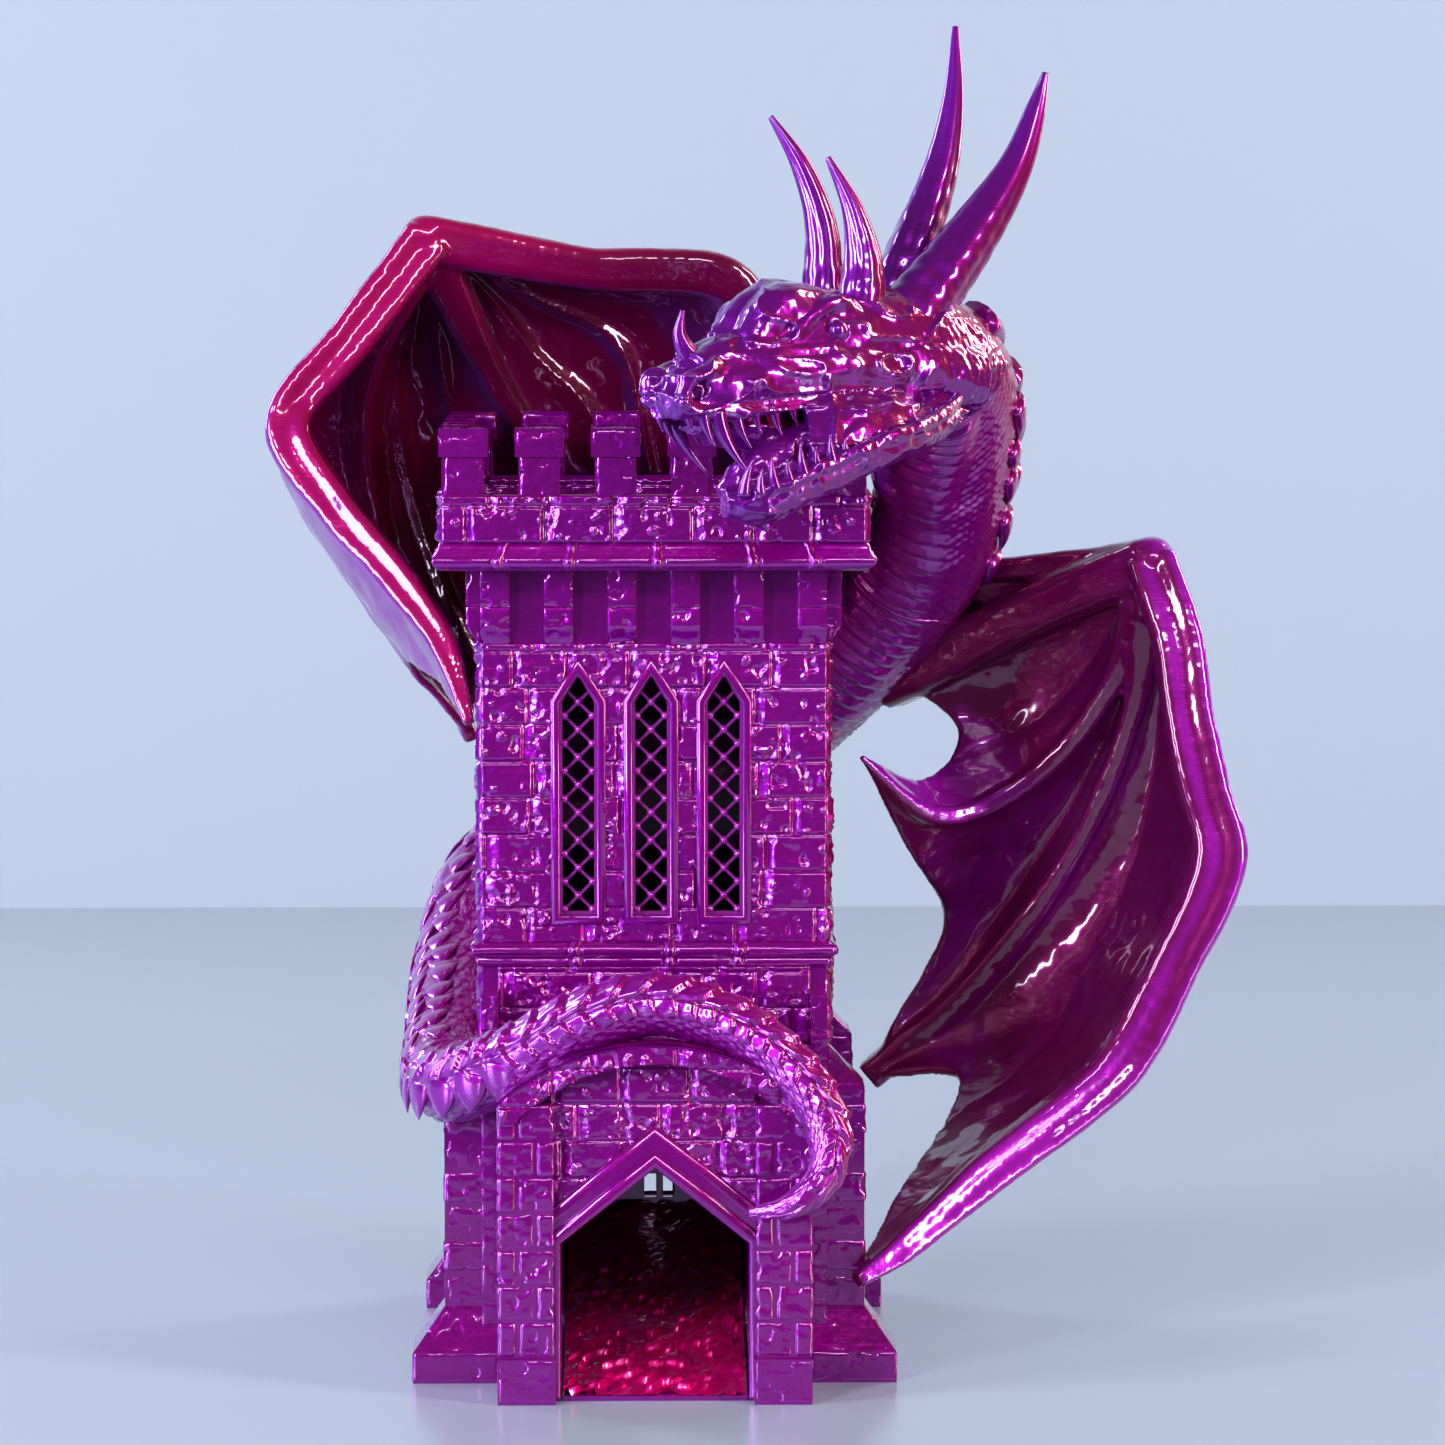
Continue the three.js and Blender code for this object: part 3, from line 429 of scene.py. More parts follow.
# ---------------------------------------------------------------- the dragon's body
# From the tail's tip to the nose: x, y, z, radius, and the way the back faces.
SPINE = [
    [18.5, -73, 38.8, 0.9, 0.3, -0.6, -1],
    [27, -75.6, 41, 2.7, 0.6, -0.7, -0.9],
    [33.2, -74, 47, 3.7, 1, -0.7, -0.2],
    [33.5, -70, 56, 4.6, 1, -0.6, 0.3],
    [25.5, -65.5, 67, 5.4, 0.8, -0.5, 0.8],
    [13, -61.5, 75, 6, 0.4, -0.5, 1],
    [0, -60.5, 78, 6.3, 0, -0.5, 1],
    [-14, -60, 74.5, 6.7, -0.2, -0.5, 1],
    [-28, -56, 66, 7.4, -0.3, -0.5, 1],
    [-40, -44, 60, 8.2, -0.9, -0.6, 0.7],
    [-42, -28, 61, 9, -1, -0.1, 0.6],
    [-41, -8, 67, 9.8, -1, 0, 0.6],
    [-39.5, 15, 76, 10.6, -1, 0, 0.6],
    [-34, 36, 88, 12.4, -1, 0.4, 0.6],
    [-22, 51, 97, 14.2, -0.6, 0.8, 0.6],
    [2, 57.5, 110, 17.2, -0.1, 1, 0.5],
    [28, 54, 130, 17.6, 0.2, 1, 0.3],
    [47, 40, 148, 16, 0.6, 1, 0],
    [58, 23, 166, 14.8, 0.9, 0.7, 0],
    [61, 10, 183, 14, 1, 0.5, 0.1],
    [61, -4, 199, 13.4, 0.9, 0.5, 0.6],
    [53, -17, 206, 12.6, 0.5, 0.3, 1],
    [42, -28, 207, 12, 0.1, 0, 1],
    [30, -39, 205.5, 11, 0, 0, 1],
    [19, -49, 202.5, 9.2, 0, 0, 1],
    [11, -56, 200, 7.8, 0, 0, 1],
    [6.5, -59.5, 198.6, 6, 0, 0, 1],
]
spine = Path(SPINE)
LAST = len(SPINE) - 1
# Where the tail's front, its base, the torso and the neck end, and where the throat swells.
CUTS = [spine.share(k / LAST) for k in (9.6, 14.2, 17.6, 20.35)]
THROAT = [spine.share(k / LAST) for k in (18.4, 19)]


def sawtooth(x, power, drop):
    """Ridges that rise along x and fall away over their last share, from drop to 1."""
    f = np.mod(x, 1)
    return f**power - smooth(drop, 1, f)


def hide(s, angle, radius):
    """Scales on the flanks, broad plates over the tail's back and broad scutes on the belly."""
    signed = np.where(angle > math.pi, angle - 2 * math.pi, angle)
    around = angle / (2 * math.pi)
    away = np.abs(signed)
    big = 0.45 + 0.055 * radius
    front = 1 - smooth(CUTS[0] - 25, CUTS[0] + 15, s)
    high = smooth(CUTS[1], CUTS[2], s)
    size = big * (1 - 0.45 * high)
    flank = overlap(-s / (2.4 * size), around * np.where(high > 0.5, 30, 20)) * 0.7 * size
    plates = overlap(-s / (5.6 * size), around * np.where(high > 0.5, 11, 7)) * 1.1 * size

    # the tail's front: a row of big plates over the back, and smaller ones beside it
    turned = np.abs(signed - 0.3)
    sway = 0.16 * noise(np.stack([s, angle * 3, 0 * s], -1), (9, 2, 1), 13)
    over = sawtooth(-s / 5.4 + 0.75 * turned**1.5 + sway, 1.2, 0.85)
    over = over * (0.8 + 0.8 * smooth(0.15, 0.5, turned)) + 0.5 * (1 - smooth(0.03, 0.4, turned))
    beside = sawtooth(-s / 4.1 - 0.5 * turned + sway, 1.2, 0.85) * 1.1
    rings = np.where(turned < 0.95, over, beside) - 0.7 * np.exp(-((turned - 0.95) ** 2) / 0.006)
    plates = rings * front + plates * (1 - front)

    belly = np.mod(-s / (4.4 * big), 1)
    belly = (belly**0.6 - 0.4 * smooth(0.86, 1, belly)) * (0.3 + 0.25 * (1 - front)) * big
    throat = smooth(*THROAT, s) * (1 - smooth(CUTS[3] - 6, CUTS[3], s))
    belly = belly + 2.4 * throat
    top = 1 - smooth(0.85 + 0.25 * front, 1.1 + 0.25 * front, away)
    low = smooth(1.75, 2.2, away)
    place = np.stack([s, angle * radius, 0 * s], -1)
    rough = noise(place, 5, 3) * 0.35 + noise(place, 1.4, 5) * 0.12
    height = plates * top + flank * (1 - top) * (1 - low) + belly * low + rough - 0.55 * big
    return height * (0.3 + 0.7 * smooth(0, 30, s))


def keep_out(points):
    """Points that fall inside the shaft are moved into its nearest wall."""
    edge = SHAFT - WALL * 0.4
    p = points.copy()
    x, y = np.abs(p[:, 0]), np.abs(p[:, 1])
    inside = (x < edge) & (y < edge) & (p[:, 2] < SHAFT_TOP)
    for axis, rows in ((0, inside & (x >= y)), (1, inside & (x < y))):
        p[rows, axis] = np.sign(p[rows, axis]) * edge
    return p


def dorsal_row(shell, start, end, pitch, length, wide, thick, turn, rise, seed, fall=2.4):
    """Leaf-shaped plates lying back along the body, between two lengths of the spine."""
    rng = np.random.default_rng(seed)
    for s in np.arange(start, end, pitch):
        s = min(s + rng.uniform(-0.22, 0.22) * pitch, end)
        place, along, back, side, radius = (v[0] for v in spine.at([s]))
        long = length * rng.uniform(0.85, 1.15)
        swing = turn + rng.uniform(-0.13, 0.13)
        out = back * math.cos(swing) + side * math.sin(swing)
        root = place + out * (radius - 0.9) + along * long * 0.3
        spike(shell, root, out * rise - along, long, wide, thick, out * -0.25, fall)


def body():
    """The tail, torso and neck in their pieces, each with its rows of plates."""
    names = ["tail_front", "tail_base", "torso", "neck"]
    edges = [0.0, *CUTS]
    for name, start, end in zip(names, edges, edges[1:]):
        shell = Shell()
        points, faces = skin(spine, hide, start=start, end=end, step=0.45, around=190, wide=0.96)
        shell.add(keep_out(points), faces)
        if name == "tail_base":
            for turn, k in ((0.1, 1), (-0.6, 2), (0.7, 3)):
                dorsal_row(shell, start + 4 + 3 * (k % 2), end - 2, 6.8, 9, 3.1, 0.8, turn, 0.34, k)
        elif name == "torso":
            for turn, k in ((0, 1), (-0.6, 2), (0.6, 3)):
                dorsal_row(shell, start + 2 + 3 * (k % 2), end - 4, 7.5, 9, 2.8, 1.1, turn, 0.5, k)
        elif name == "neck":
            dorsal_row(shell, start + 4, end - 2, 10.5, 14, 5.4, 3.0, -0.1, 0.3, 5, 1.3)
            dorsal_row(shell, start + 9, end - 4, 9.5, 10, 3.4, 1.8, -0.75, 0.34, 6, 1.7)
            dorsal_row(shell, start + 9, end - 4, 9.5, 10, 3.4, 1.8, 0.65, 0.34, 7, 1.7)
        make(name + "_scales", shell, name)


def tail_fan():
    """The fan of pointed plates where the tail folds round the corner."""
    shell = Shell()
    for k, share in enumerate((8.0, 8.35, 8.7, 9.05, 9.4, 9.8)):
        place, along, _, _, radius = (v[0] for v in spine.at([spine.share(share / LAST)]))
        out = np.array([-0.1 - 0.13 * k, -0.9 + 0.12 * k, -0.15])
        out = unit(out - along * (out @ along))
        way = np.array([-0.08 - 0.05 * k, -0.05, -1.0])
        root = place + out * (radius - 0.9) + np.array([0, 0, 3.0])
        spike(shell, root, way, 8.6, 4.3, 1.2, out * -0.2, fall=2.4)
    make("tail_fan", shell)


# ---------------------------------------------------------------- the dragon's head
def head_frame():
    """The middle line of the head as a frame: along to the nose, to the near side, and up."""
    base = np.array([53, -17, 206.0])
    nose = np.array([6.5, -59.5, 198.6])
    along = unit(nose - base)
    near = unit(np.cross(along, [0, 0, -1.0]))
    if near[1] > 0:
        near = -near
    up = unit(np.cross(near, along))
    if up[2] < 0:
        up = -up
    return base, along, near, up


HB, HA, HN, HU = head_frame()


def face_point(x, z, n):
    """The point of the head at x and height z, n to the near side of its middle."""
    a = (HB[0] + HN[0] * n - x) / -HA[0]
    y = HB[1] + HA[1] * a + HN[1] * n
    return np.array([x, y, z])


def paired(rows):
    """Rows of x, height, side, radius as limbs on the near side and mirrored to the far side."""
    near, far = [], []
    for x, z, n, r in rows:
        p = face_point(x, z, n)
        near.append([*p, r])
        far.append([*(p - HN * 2 * n), r])
    return [near, far] if any(row[2] for row in rows) else [near]


# Each horn from its root to its tip: x, y, z, radius.
HORNS = {
    "horn_large_far": [
        [45.5, -11, 211, 5.9], [50, -8, 219, 5.6], [54, -4, 229, 4.8], [59, 2, 242.5, 3.6],
        [61.8, 7, 256.5, 2.2], [62.5, 12, 271.6, 0.7],
    ],
    "horn_large_near": [
        [43, -30, 205, 6.6], [49.5, -25.5, 211, 6.9], [58.2, -18, 221, 6.3], [67.3, -10, 232.5, 5],
        [74.3, -4, 243.5, 3.4], [78.4, 0, 254.5, 2.1], [80.5, 2, 262, 0.7],
    ],
    "horn_small_far": [
        [34, -20, 209, 4.6], [34.4, -18, 218, 4.3], [33.6, -17, 232, 3.2], [29.6, -17, 243.5, 2],
        [23.7, -17, 253, 0.6],
    ],
    "horn_small_near": [
        [38.5, -33, 206.5, 5.4], [41, -32, 213.5, 5.2], [41.9, -30, 223.5, 4], [39.8, -29, 234.5, 2.2],
        [34.9, -29, 244.8, 0.6],
    ],
    "nose_horn": [[11, -56.5, 202, 2.8], [7, -58, 206, 2.2], [5, -58.6, 210, 1.4], [5.6, -58.6, 215, 0.4]],
}


def horns():
    """Horns with rings round their lower part and flutes along them."""
    for name, rows in HORNS.items():
        path = Path(rows, back=(0, 1, 0))

        def ridges(s, angle, radius):
            fade = 1 - smooth(0.1, 0.8, s / path.length)
            rings = np.sin(s * 2 * math.pi / 5.5 + 2 * np.cos(angle))
            flutes = np.abs(np.cos(angle * 2.5 + s * 0.03))
            worn = noise(np.stack([s * 0.35, angle * radius, 0 * s], -1), 2.4, 7)
            return radius * (0.018 * rings * fade + 0.09 * flutes - 0.05) + worn * 0.28 * fade

        shell = Shell()
        shell.add(*skin(path, ridges, step=0.35, around=60))
        make(name + "_ridged", shell, name, material=MATERIALS["head"])


def ball(centre, radius, around=20):
    x, y, z = centre
    path = Path([[x, y, z + d, radius] for d in np.linspace(-radius, radius, 13)], back=(0, 1, 0))
    path.radius = np.sqrt(np.maximum(radius**2 - (path.s - path.length / 2) ** 2, 0.01))
    return skin(path, step=radius / 12, around=around)


def remeshed(name, shell, voxel, smoothing, displace):
    """The parts fused into one skin by a voxel remesh, smoothed, with a displacement on top."""
    mesh = bpy.data.meshes.new(name + "_raw")
    faces = [tuple(f) for block in shell.faces for f in block.tolist()]
    mesh.from_pydata([tuple(p) for p in shell.all_points().tolist()], [], faces)
    raw = add_object(name + "_raw", mesh)
    remesh = raw.modifiers.new("fuse", "REMESH")
    remesh.mode = "VOXEL"
    remesh.voxel_size = voxel
    relax = raw.modifiers.new("relax", "SMOOTH")
    relax.iterations = smoothing
    relax.factor = 0.5
    bpy.context.view_layer.update()
    done = raw.evaluated_get(bpy.context.evaluated_depsgraph_get()).to_mesh()
    co, normal = np.zeros((2, len(done.vertices) * 3), np.float32)
    done.vertices.foreach_get("co", co)
    done.vertices.foreach_get("normal", normal)
    co, normal = co.reshape(-1, 3).astype(float), normal.reshape(-1, 3).astype(float)
    quads, triangles = (
        np.array([list(p.vertices) for p in done.polygons if len(p.vertices) == sides], np.int64)
        for sides in (4, 3)
    )
    bpy.data.objects.remove(raw)
    out = Shell()
    out.add(co + normal * displace(co)[:, None], [f for f in (quads, triangles) if len(f)])
    return out


def bumps(points, size, seed):
    """Rounded pebbles: the distance to the nearest of scattered points, in three dimensions."""
    q = points / size
    cell = np.floor(q).astype(np.int64)
    best = np.full(len(points), 9.0)
    for offset in np.ndindex(3, 3, 3):
        c = cell + np.array(offset) - 1
        jitter = np.stack([lattice_value(*c.T, seed + k) for k in range(3)], 1) * 0.38 + 0.5
        best = np.minimum(best, np.linalg.norm(q - c - jitter, axis=1))
    return 1 - smooth(0.1, 0.75, best)


# The skull's limbs, as rows of x, height, distance to the side and radius.
FACE_LIMBS = [
    # the dome over the brows, and the arched ridge over each eye
    [(44, 208, 1.5, 7), (36, 211, 1.8, 6.6), (30, 213.6, 2, 6.3), (25, 214.4, 2.4, 5.9),
     (21, 211.5, 2.8, 5), (18.5, 207.5, 3, 4.2)],
    [(43, 211, 6.5, 3), (38, 214.4, 7, 2.6), (34.5, 215.6, 7, 2.3), (31, 213.4, 7.2, 2.1),
     (28.4, 210, 7.6, 1.9), (27, 206.5, 8, 1.6)],
    # bridge, flared nostrils and hooked lip
    [(20, 206, 1.5, 4.8), (13, 205.2, 1.5, 4.4), (8, 203, 1.2, 4)],
    [(14.5, 203.5, 4.6, 2.3), (10.5, 203, 5.4, 2.1), (6.5, 201.2, 5, 2.1), (5.6, 198, 4.6, 1.9),
     (8, 196, 5, 1.8), (12, 196.4, 5.8, 1.7)],
    [(7, 200, 0, 5.4), (4, 197, 0, 3.8), (3.4, 193.4, 0, 1.6)],
    # sides of the snout, cheeks and the lip's edge
    [(46, 201, 7, 7), (37, 202.5, 7, 7), (28, 202, 6, 6.4), (19, 200.8, 5, 5.6), (12, 199.8, 3.5, 5),
     (7, 198.8, 2, 4.6)],
    [(44, 203.5, 6.5, 7), (54, 202, 7, 8.4), (62, 200, 6, 9)],
    [(4.2, 195.4, 2.5, 2.1), (9.6, 195, 5.5, 1.8), (15, 195.1, 7, 1.6), (21.3, 195.4, 8.3, 1.6),
     (28.6, 196.7, 9.4, 1.7), (36, 198.3, 10.2, 1.9), (44, 198.8, 10.6, 2.3), (52, 198, 10.5, 2.6)],
    [(12, 198.4, 6.4, 1.2), (20, 199.8, 8.7, 1.4), (28, 201.8, 10, 1.4), (36, 204, 11, 1.3),
     (44, 206, 11, 1.2), (52, 206.5, 11, 1.2)],
    [(21, 204.8, 7.2, 1.6), (26, 206.4, 8.4, 1.8), (31, 206.6, 9.4, 1.8), (37, 207.3, 10, 1.6),
     (42, 210, 10, 1.4)],
    [(16, 206, 5, 1.4), (20, 208.6, 6, 1.4), (24, 209, 7, 1.3)],
    # a fold of cheek that hangs over the mouth, and the palate
    [(28.6, 196.4, 9.6, 1.4), (31.2, 194.6, 9.8, 1.3), (32.6, 191.8, 9.8, 1)],
    [(44, 196, 1, 5.5), (35, 196, 2, 4.6), (27, 195, 2.5, 4.4), (20, 192, 2, 5.2), (13, 193, 1, 4.8),
     (8, 194, 0.5, 3.6)],
]
# Plates behind the cheeks: x, height, side, way back and up, length, width.
FRILL = (
    (50, 206, 8.5, 0.85, 0.45, 14, 4.6), (53, 202, 9.5, 1, 0.12, 12.5, 4.2),
    (55, 197, 9.5, 0.95, -0.22, 10.5, 3.6), (57, 193, 8, 0.8, -0.5, 8, 3),
    (45, 209.5, 8.5, 0.4, 0.8, 5, 2.6),
)
# The cheek's skin over the corner of the mouth hangs between these two edges.
CHEEK_TOP = [[29, -51.5, 196.2, 2], [36, -48.5, 197, 2], [43, -44, 197.4, 2], [50, -37.5, 196.6, 2]]
CHEEK_FOOT = [[30.5, -58.6, 185, 2], [37.5, -55, 187.4, 2], [45, -50, 190, 2], [53, -40, 192.5, 2]]
# Upper teeth, with a long curved fang near the nose: x, height, side, length, width, lean.
UPPER_TEETH = (
    (6.5, 194.8, 4.2, 4.5, 1.2, 0.1), (9.4, 194.6, 5.6, 7, 1.4, 0.25), (12.2, 195, 6.4, 13.5, 1.9, 0.42),
    (16, 194.6, 7.2, 7.5, 1.5, 0.3), (19.6, 194.8, 8, 5, 1.2, 0.2), (23.4, 195.2, 8.6, 5.8, 1.3, 0.2),
    (27, 195.8, 9.2, 4.6, 1.1, 0.2),
)
HEAD_VOXEL = 0.42


def on_both_sides(x, z, n):
    """A point of the head and its mirror image on the far side."""
    near = face_point(x, z, n)
    return near, near - HN * 2 * n


def horn_collars():
    """The thick rings round the horns' roots."""
    for name in ("horn_large_near", "horn_large_far", "horn_small_near", "horn_small_far"):
        a, b = np.array(HORNS[name][0]), np.array(HORNS[name][1])
        rings = [(a + (b - a) * f, thicker) for f, thicker in ((-0.3, 1.3), (0.1, 1.26), (0.5, 1.05))]
        yield [[*c[:3], thicker * c[3]] for c, thicker in rings]


def skull():
    """The head above the mouth: snout, brows, cheeks, frill and upper teeth."""
    shell = Shell()
    start = spine.share(20.2 / LAST)

    def snout(s, angle, radius):
        f = (s - start) / (spine.length - start)
        return -radius * 0.12 * smooth(0.3, 0.8, f) * (np.cos(angle) < -0.3)

    shell.add(*skin(spine, snout, start=start, step=1, around=40))
    for x, z in ((11.5, 208.4), (14.8, 209.6), (17.6, 211.4)):
        for sign in (1, -1):
            spike(shell, face_point(x, z - 1.5, 1.6 * sign), [0.25, 0, 1.0], 3.6, 1.5, 1.1)
    for x, z, n, backward, upward, long, wide in FRILL:
        for sign in (1, -1):
            root = face_point(x, z, n) - HN * (n - n * sign)
            way = -HA * backward + HU * upward + HN * 0.3 * sign
            spike(shell, root, way, long, wide, 1.5, HU * 0.22)
    limbs = [limb for rows in FACE_LIMBS for limb in paired(rows)]
    for rows in (*limbs, *horn_collars()):
        shell.add(*skin(Path(rows, back=HU), step=0.8, around=18))
    web(shell, CHEEK_TOP, CHEEK_FOOT, (0.8, -0.9, 0.2), 0, folds=2.5, deep=0.3, seed=5, thick=3.4)
    sockets = on_both_sides(36, 210.6, 9.6)
    nostrils = on_both_sides(9.6, 199.8, 6.4)

    def nearest(co, spots):
        return np.minimum(*(np.linalg.norm(co - v, axis=1) for v in spots))

    def weathered(co):
        rear = smooth(16, 2, (co - HB) @ HA)
        veins = (1 - np.abs(noise(co, (8, 8, 3.4), 33, 1))) ** 5 * (1 - 0.75 * rear)
        scales = bumps(co, 1.5, 11) * (0.05 + 0.1 * rear)
        eye_pits = -1.6 * (1 - smooth(0.8, 3.0, nearest(co, sockets)))
        nose_pits = -1.7 * (1 - smooth(0.4, 1.9, nearest(co, nostrils)))
        return veins * 0.9 + scales + noise(co, 4, 12) * 0.3 - 0.35 + eye_pits + nose_pits

    out = remeshed("skull", shell, HEAD_VOXEL, 3, weathered)
    for centre in sockets:
        out.add(*ball(centre + (HB - centre) * 0.012, 2.3))
    for x, z, n, long, width, lean in UPPER_TEETH:
        for sign in (1, -1):
            root = face_point(x, z + 0.8, n) - HN * (n - n * sign)
            spike(out, root, np.array([0.12, 0, -1.0]), long, width, lean=np.array([lean, 0, 0.0]))
    make("skull_hide", out, "skull", material=MATERIALS["head"])


JAW = [
    [56.5, -26, 194.5, 6],
    [52, -38, 191.5, 5.4],
    [45, -48.5, 188.5, 4.8],
    [35, -55, 184.5, 4.8],
    [27, -59, 181, 5],
    [20, -62, 178, 5],
    [13.5, -63.5, 178, 3.4],
]


JAW_EDGE = [
    [20.3, -62.6, 175.4, 2.0], [27, -61, 178, 1.9], [35, -57.5, 181.4, 1.7], [45, -51, 185.2, 1.6],
    [53, -41, 188.4, 1.5],
]
MOUTH_FLOOR = [
    [13, -59.5, 179, 1.6], [17, -57.5, 182.6, 3], [23, -54, 185.6, 4], [30, -50, 189, 4.2],
    [38, -47, 192.4, 3.6],
]
# The chin's beard: root, way, length, width, thickness and lean of each thorn.
BEARD = (
    ((20, -62, 175.5), (0.15, 0.1, -1), 4.5, 2.4, 1.8, (0.5, 0.2, 0)),
    ((27, -58.5, 177.6), (0.2, 0.1, -1), 3.4, 2, 1.4, (0.6, 0.3, 0)),
    ((36, -54, 181), (0.3, 0.1, -1), 3, 1.8, 1.3, (0.7, 0.3, 0)),
)
LOWER_TEETH = (3.6, 5.6, 4.4, 6.4, 4.6, 6.4, 4.8, 7.4)


def lower_jaw():
    """The hollowed jaw with its rims, beard, teeth and tongue."""
    shell = Shell()
    path = Path(JAW)

    def trough(s, angle, radius):
        return -radius * 0.3 * (np.cos(angle) > 0) * np.cos(angle)

    shell.add(*skin(path, trough, step=0.8, around=32))
    shell.add(*skin(Path(JAW_EDGE), step=0.8, around=14))
    shell.add(*skin(Path(MOUTH_FLOOR), step=0.8, around=18))
    place, along, back, side, radius = path.at(np.linspace(0, path.length, 40))
    for sign in (1, -1):
        rim = place + side * (radius * 0.86)[:, None] * sign + back * (radius * 0.32)[:, None]
        rows = np.column_stack([rim[::4], np.full(10, 1.5)])
        shell.add(*skin(Path(rows), step=0.8, around=14))
    for thorn in BEARD:
        spike(shell, *thorn)
    for at in (2, 5, 8, 11):
        root = place[at] - side[at] * radius[at] * 0.7
        spike(shell, root, np.array([0.4, -0.3, -0.2]) - along[2], 6, 1.8, 1.2)

    def grain(co):
        veins = (1 - np.abs(noise(co, (5, 5, 3), 19, 1))) ** 4
        return veins * 0.4 + bumps(co, 1.9, 17) * 0.15 + noise(co, 3, 21) * 0.3 - 0.25

    out = remeshed("jaw", shell, HEAD_VOXEL, 3, grain)
    for k, long in enumerate(LOWER_TEETH):
        at = 23 + k * 2
        for sign in (1, -1):
            root = place[at] + side[at] * radius[at] * 0.86 * sign + back[at] * radius[at] * 0.3
            way = back[at] + side[at] * 0.1 * sign
            spike(out, root, way, long, 0.85 + long * 0.07, lean=-along[at] * 0.2)
    tongue_line = (place + back * (radius * 0.25)[:, None])[4:34:3]
    tongue = np.column_stack([tongue_line, np.linspace(1.6, 0.9, 10)])
    out.add(*skin(Path(tongue), step=0.6, around=16))
    make("lower_jaw_hide", out, "lower_jaw", material=MATERIALS["head"])


# ---------------------------------------------------------------- wings and legs
# Each wing's bones as rows of x, y, z, radius. They meet at the wrist.
RIGHT_WRIST = [103.5, 10, 161, 5.6]
LEFT_WRIST = [-47.5, 28, 227.5, 5.4]
RIGHT_WING = {
    "arm": [[50, 46, 133, 6.5], [62, 38, 139, 6], [82, 26, 150.5, 5.4], RIGHT_WRIST],
    "brow": [[58, 38, 157, 2.4], [76, 29, 158.6, 2.4], [92, 19, 160.6, 3], RIGHT_WRIST],
    "lead": [
        RIGHT_WRIST, [108.3, 3, 146, 5.4], [110.2, -1, 131, 5.3], [113.6, -4, 115, 5.3],
        [116.6, -6, 101.5, 5.6], [107.5, -9, 80, 5.2], [95.5, -13, 59, 5.4], [66.5, -28, 38, 4.4],
        [49, -41.5, 25.5, 3], [40.5, -48, 20.5, 1.6],
    ],
    "middle": [
        RIGHT_WRIST, [101, 22, 130, 2.5], [88, 31, 96, 2.4], [66, 37, 66, 3.2],
        [55, 38.2, 56, 3.8], [46, 38.5, 48.5, 3.4],
    ],
    "inner": [
        RIGHT_WRIST, [97, 21, 136, 2.5], [80, 27, 114, 2.3], [60, 19, 107, 2.2],
        [43, 8, 120.6, 0.8],
    ],
}
LEFT_WING = {
    "arm": [
        [30, 57, 146, 6.5], [22, 57, 180, 6.2], [17.5, 47, 217, 5.6], [-14, 39, 221.5, 4.6],
        LEFT_WRIST,
    ],
    "lead": [
        LEFT_WRIST, [-62.5, 20, 208, 4.9], [-75.6, 13, 189.8, 5], [-66, 3, 173.5, 4.3],
        [-52.5, -9, 159, 3.8], [-42.5, -20, 146, 3], [-37.2, -29, 131, 1.4],
    ],
    "middle": [
        LEFT_WRIST, [-62, 40, 196, 3.2], [-60, 46, 166, 2.9], [-47, 42, 140, 2.6],
        [-38.5, 38.5, 121, 1.8],
    ],
    "inner": [LEFT_WRIST, [-36, 46, 202, 3], [-22, 52, 176, 2.8], [-8, 52, 150, 2]],
}


WEB_STEP = 0.8


def web(shell, rail_a, rail_b, bulge, scoop, folds, deep, seed, thick=2.0, late=1.0):
    """A membrane between two fingers, with folds that run out from the joint they share."""
    a_rows, b_rows = np.asarray(rail_a)[:, :3], np.asarray(rail_b)[:, :3]
    bulge = np.asarray(bulge, float)
    nu = int(max(Path(rail_a).length, Path(rail_b).length) / WEB_STEP)
    nv = int(np.linalg.norm(a_rows[-1] - b_rows[-1]) / WEB_STEP * 1.1) + 30

    def surface(u, v):
        reach = u * (1 - scoop * np.sin(math.pi * v**late))
        a = catmull(a_rows, reach)
        b = catmull(b_rows, reach)
        swell = np.sin(math.pi * v) * np.sin(math.pi * (0.15 + 0.7 * reach))
        return a + (b - a) * v[:, None] + swell[:, None] * bulge

    uu, vv = np.meshgrid(np.linspace(0, 1, nu), np.linspace(0, 1, nv), indexing="ij")
    u, v = uu.ravel(), vv.ravel()
    h = 0.004
    p = surface(u, v)
    du = surface(np.minimum(u + h, 1), v) - surface(np.maximum(u - h, 0), v)
    dv = surface(u, np.minimum(v + h, 1)) - surface(u, np.maximum(v - h, 0))
    n = np.cross(du, dv)
    weak = np.linalg.norm(n, axis=1) < 1e-6
    n[weak] = bulge
    n = unit(n)
    spread = np.sin(math.pi * v) ** 0.6 * smooth(0.02, 0.3, u)
    wander = noise(np.stack([u * 2.2, v * 2, 0 * u], 1), 1, seed, 1) * 0.9
    fold = (1 - np.abs(np.sin(math.pi * (folds * v + wander)))) ** 2
    fine = noise(np.stack([u * 6, v * folds * 5 + wander * 3, 0 * u], 1), 1, seed + 5)
    lift = spread * deep * (1.7 * fold - 0.5 + 0.3 * fine) + noise(p, 9, seed + 3) * 0.8 * spread
    p = p + n * lift[:, None]
    half = thick / 2
    front, back = p + n * half, p - n * half
    faces = grid_faces(nu, nv)
    count = nu * nv
    rim = []
    index = np.arange(count).reshape(nu, nv)
    for line, flip in ((index[:, 0], 0), (index[:, -1], 1), (index[0], 1), (index[-1], 0)):
        q = np.stack([line[:-1], line[1:], line[1:] + count, line[:-1] + count], 1)
        rim.append(q[:, ::-1] if flip else q)
    shell.add(np.vstack([front, back]), [faces, faces[:, ::-1] + count, *rim])


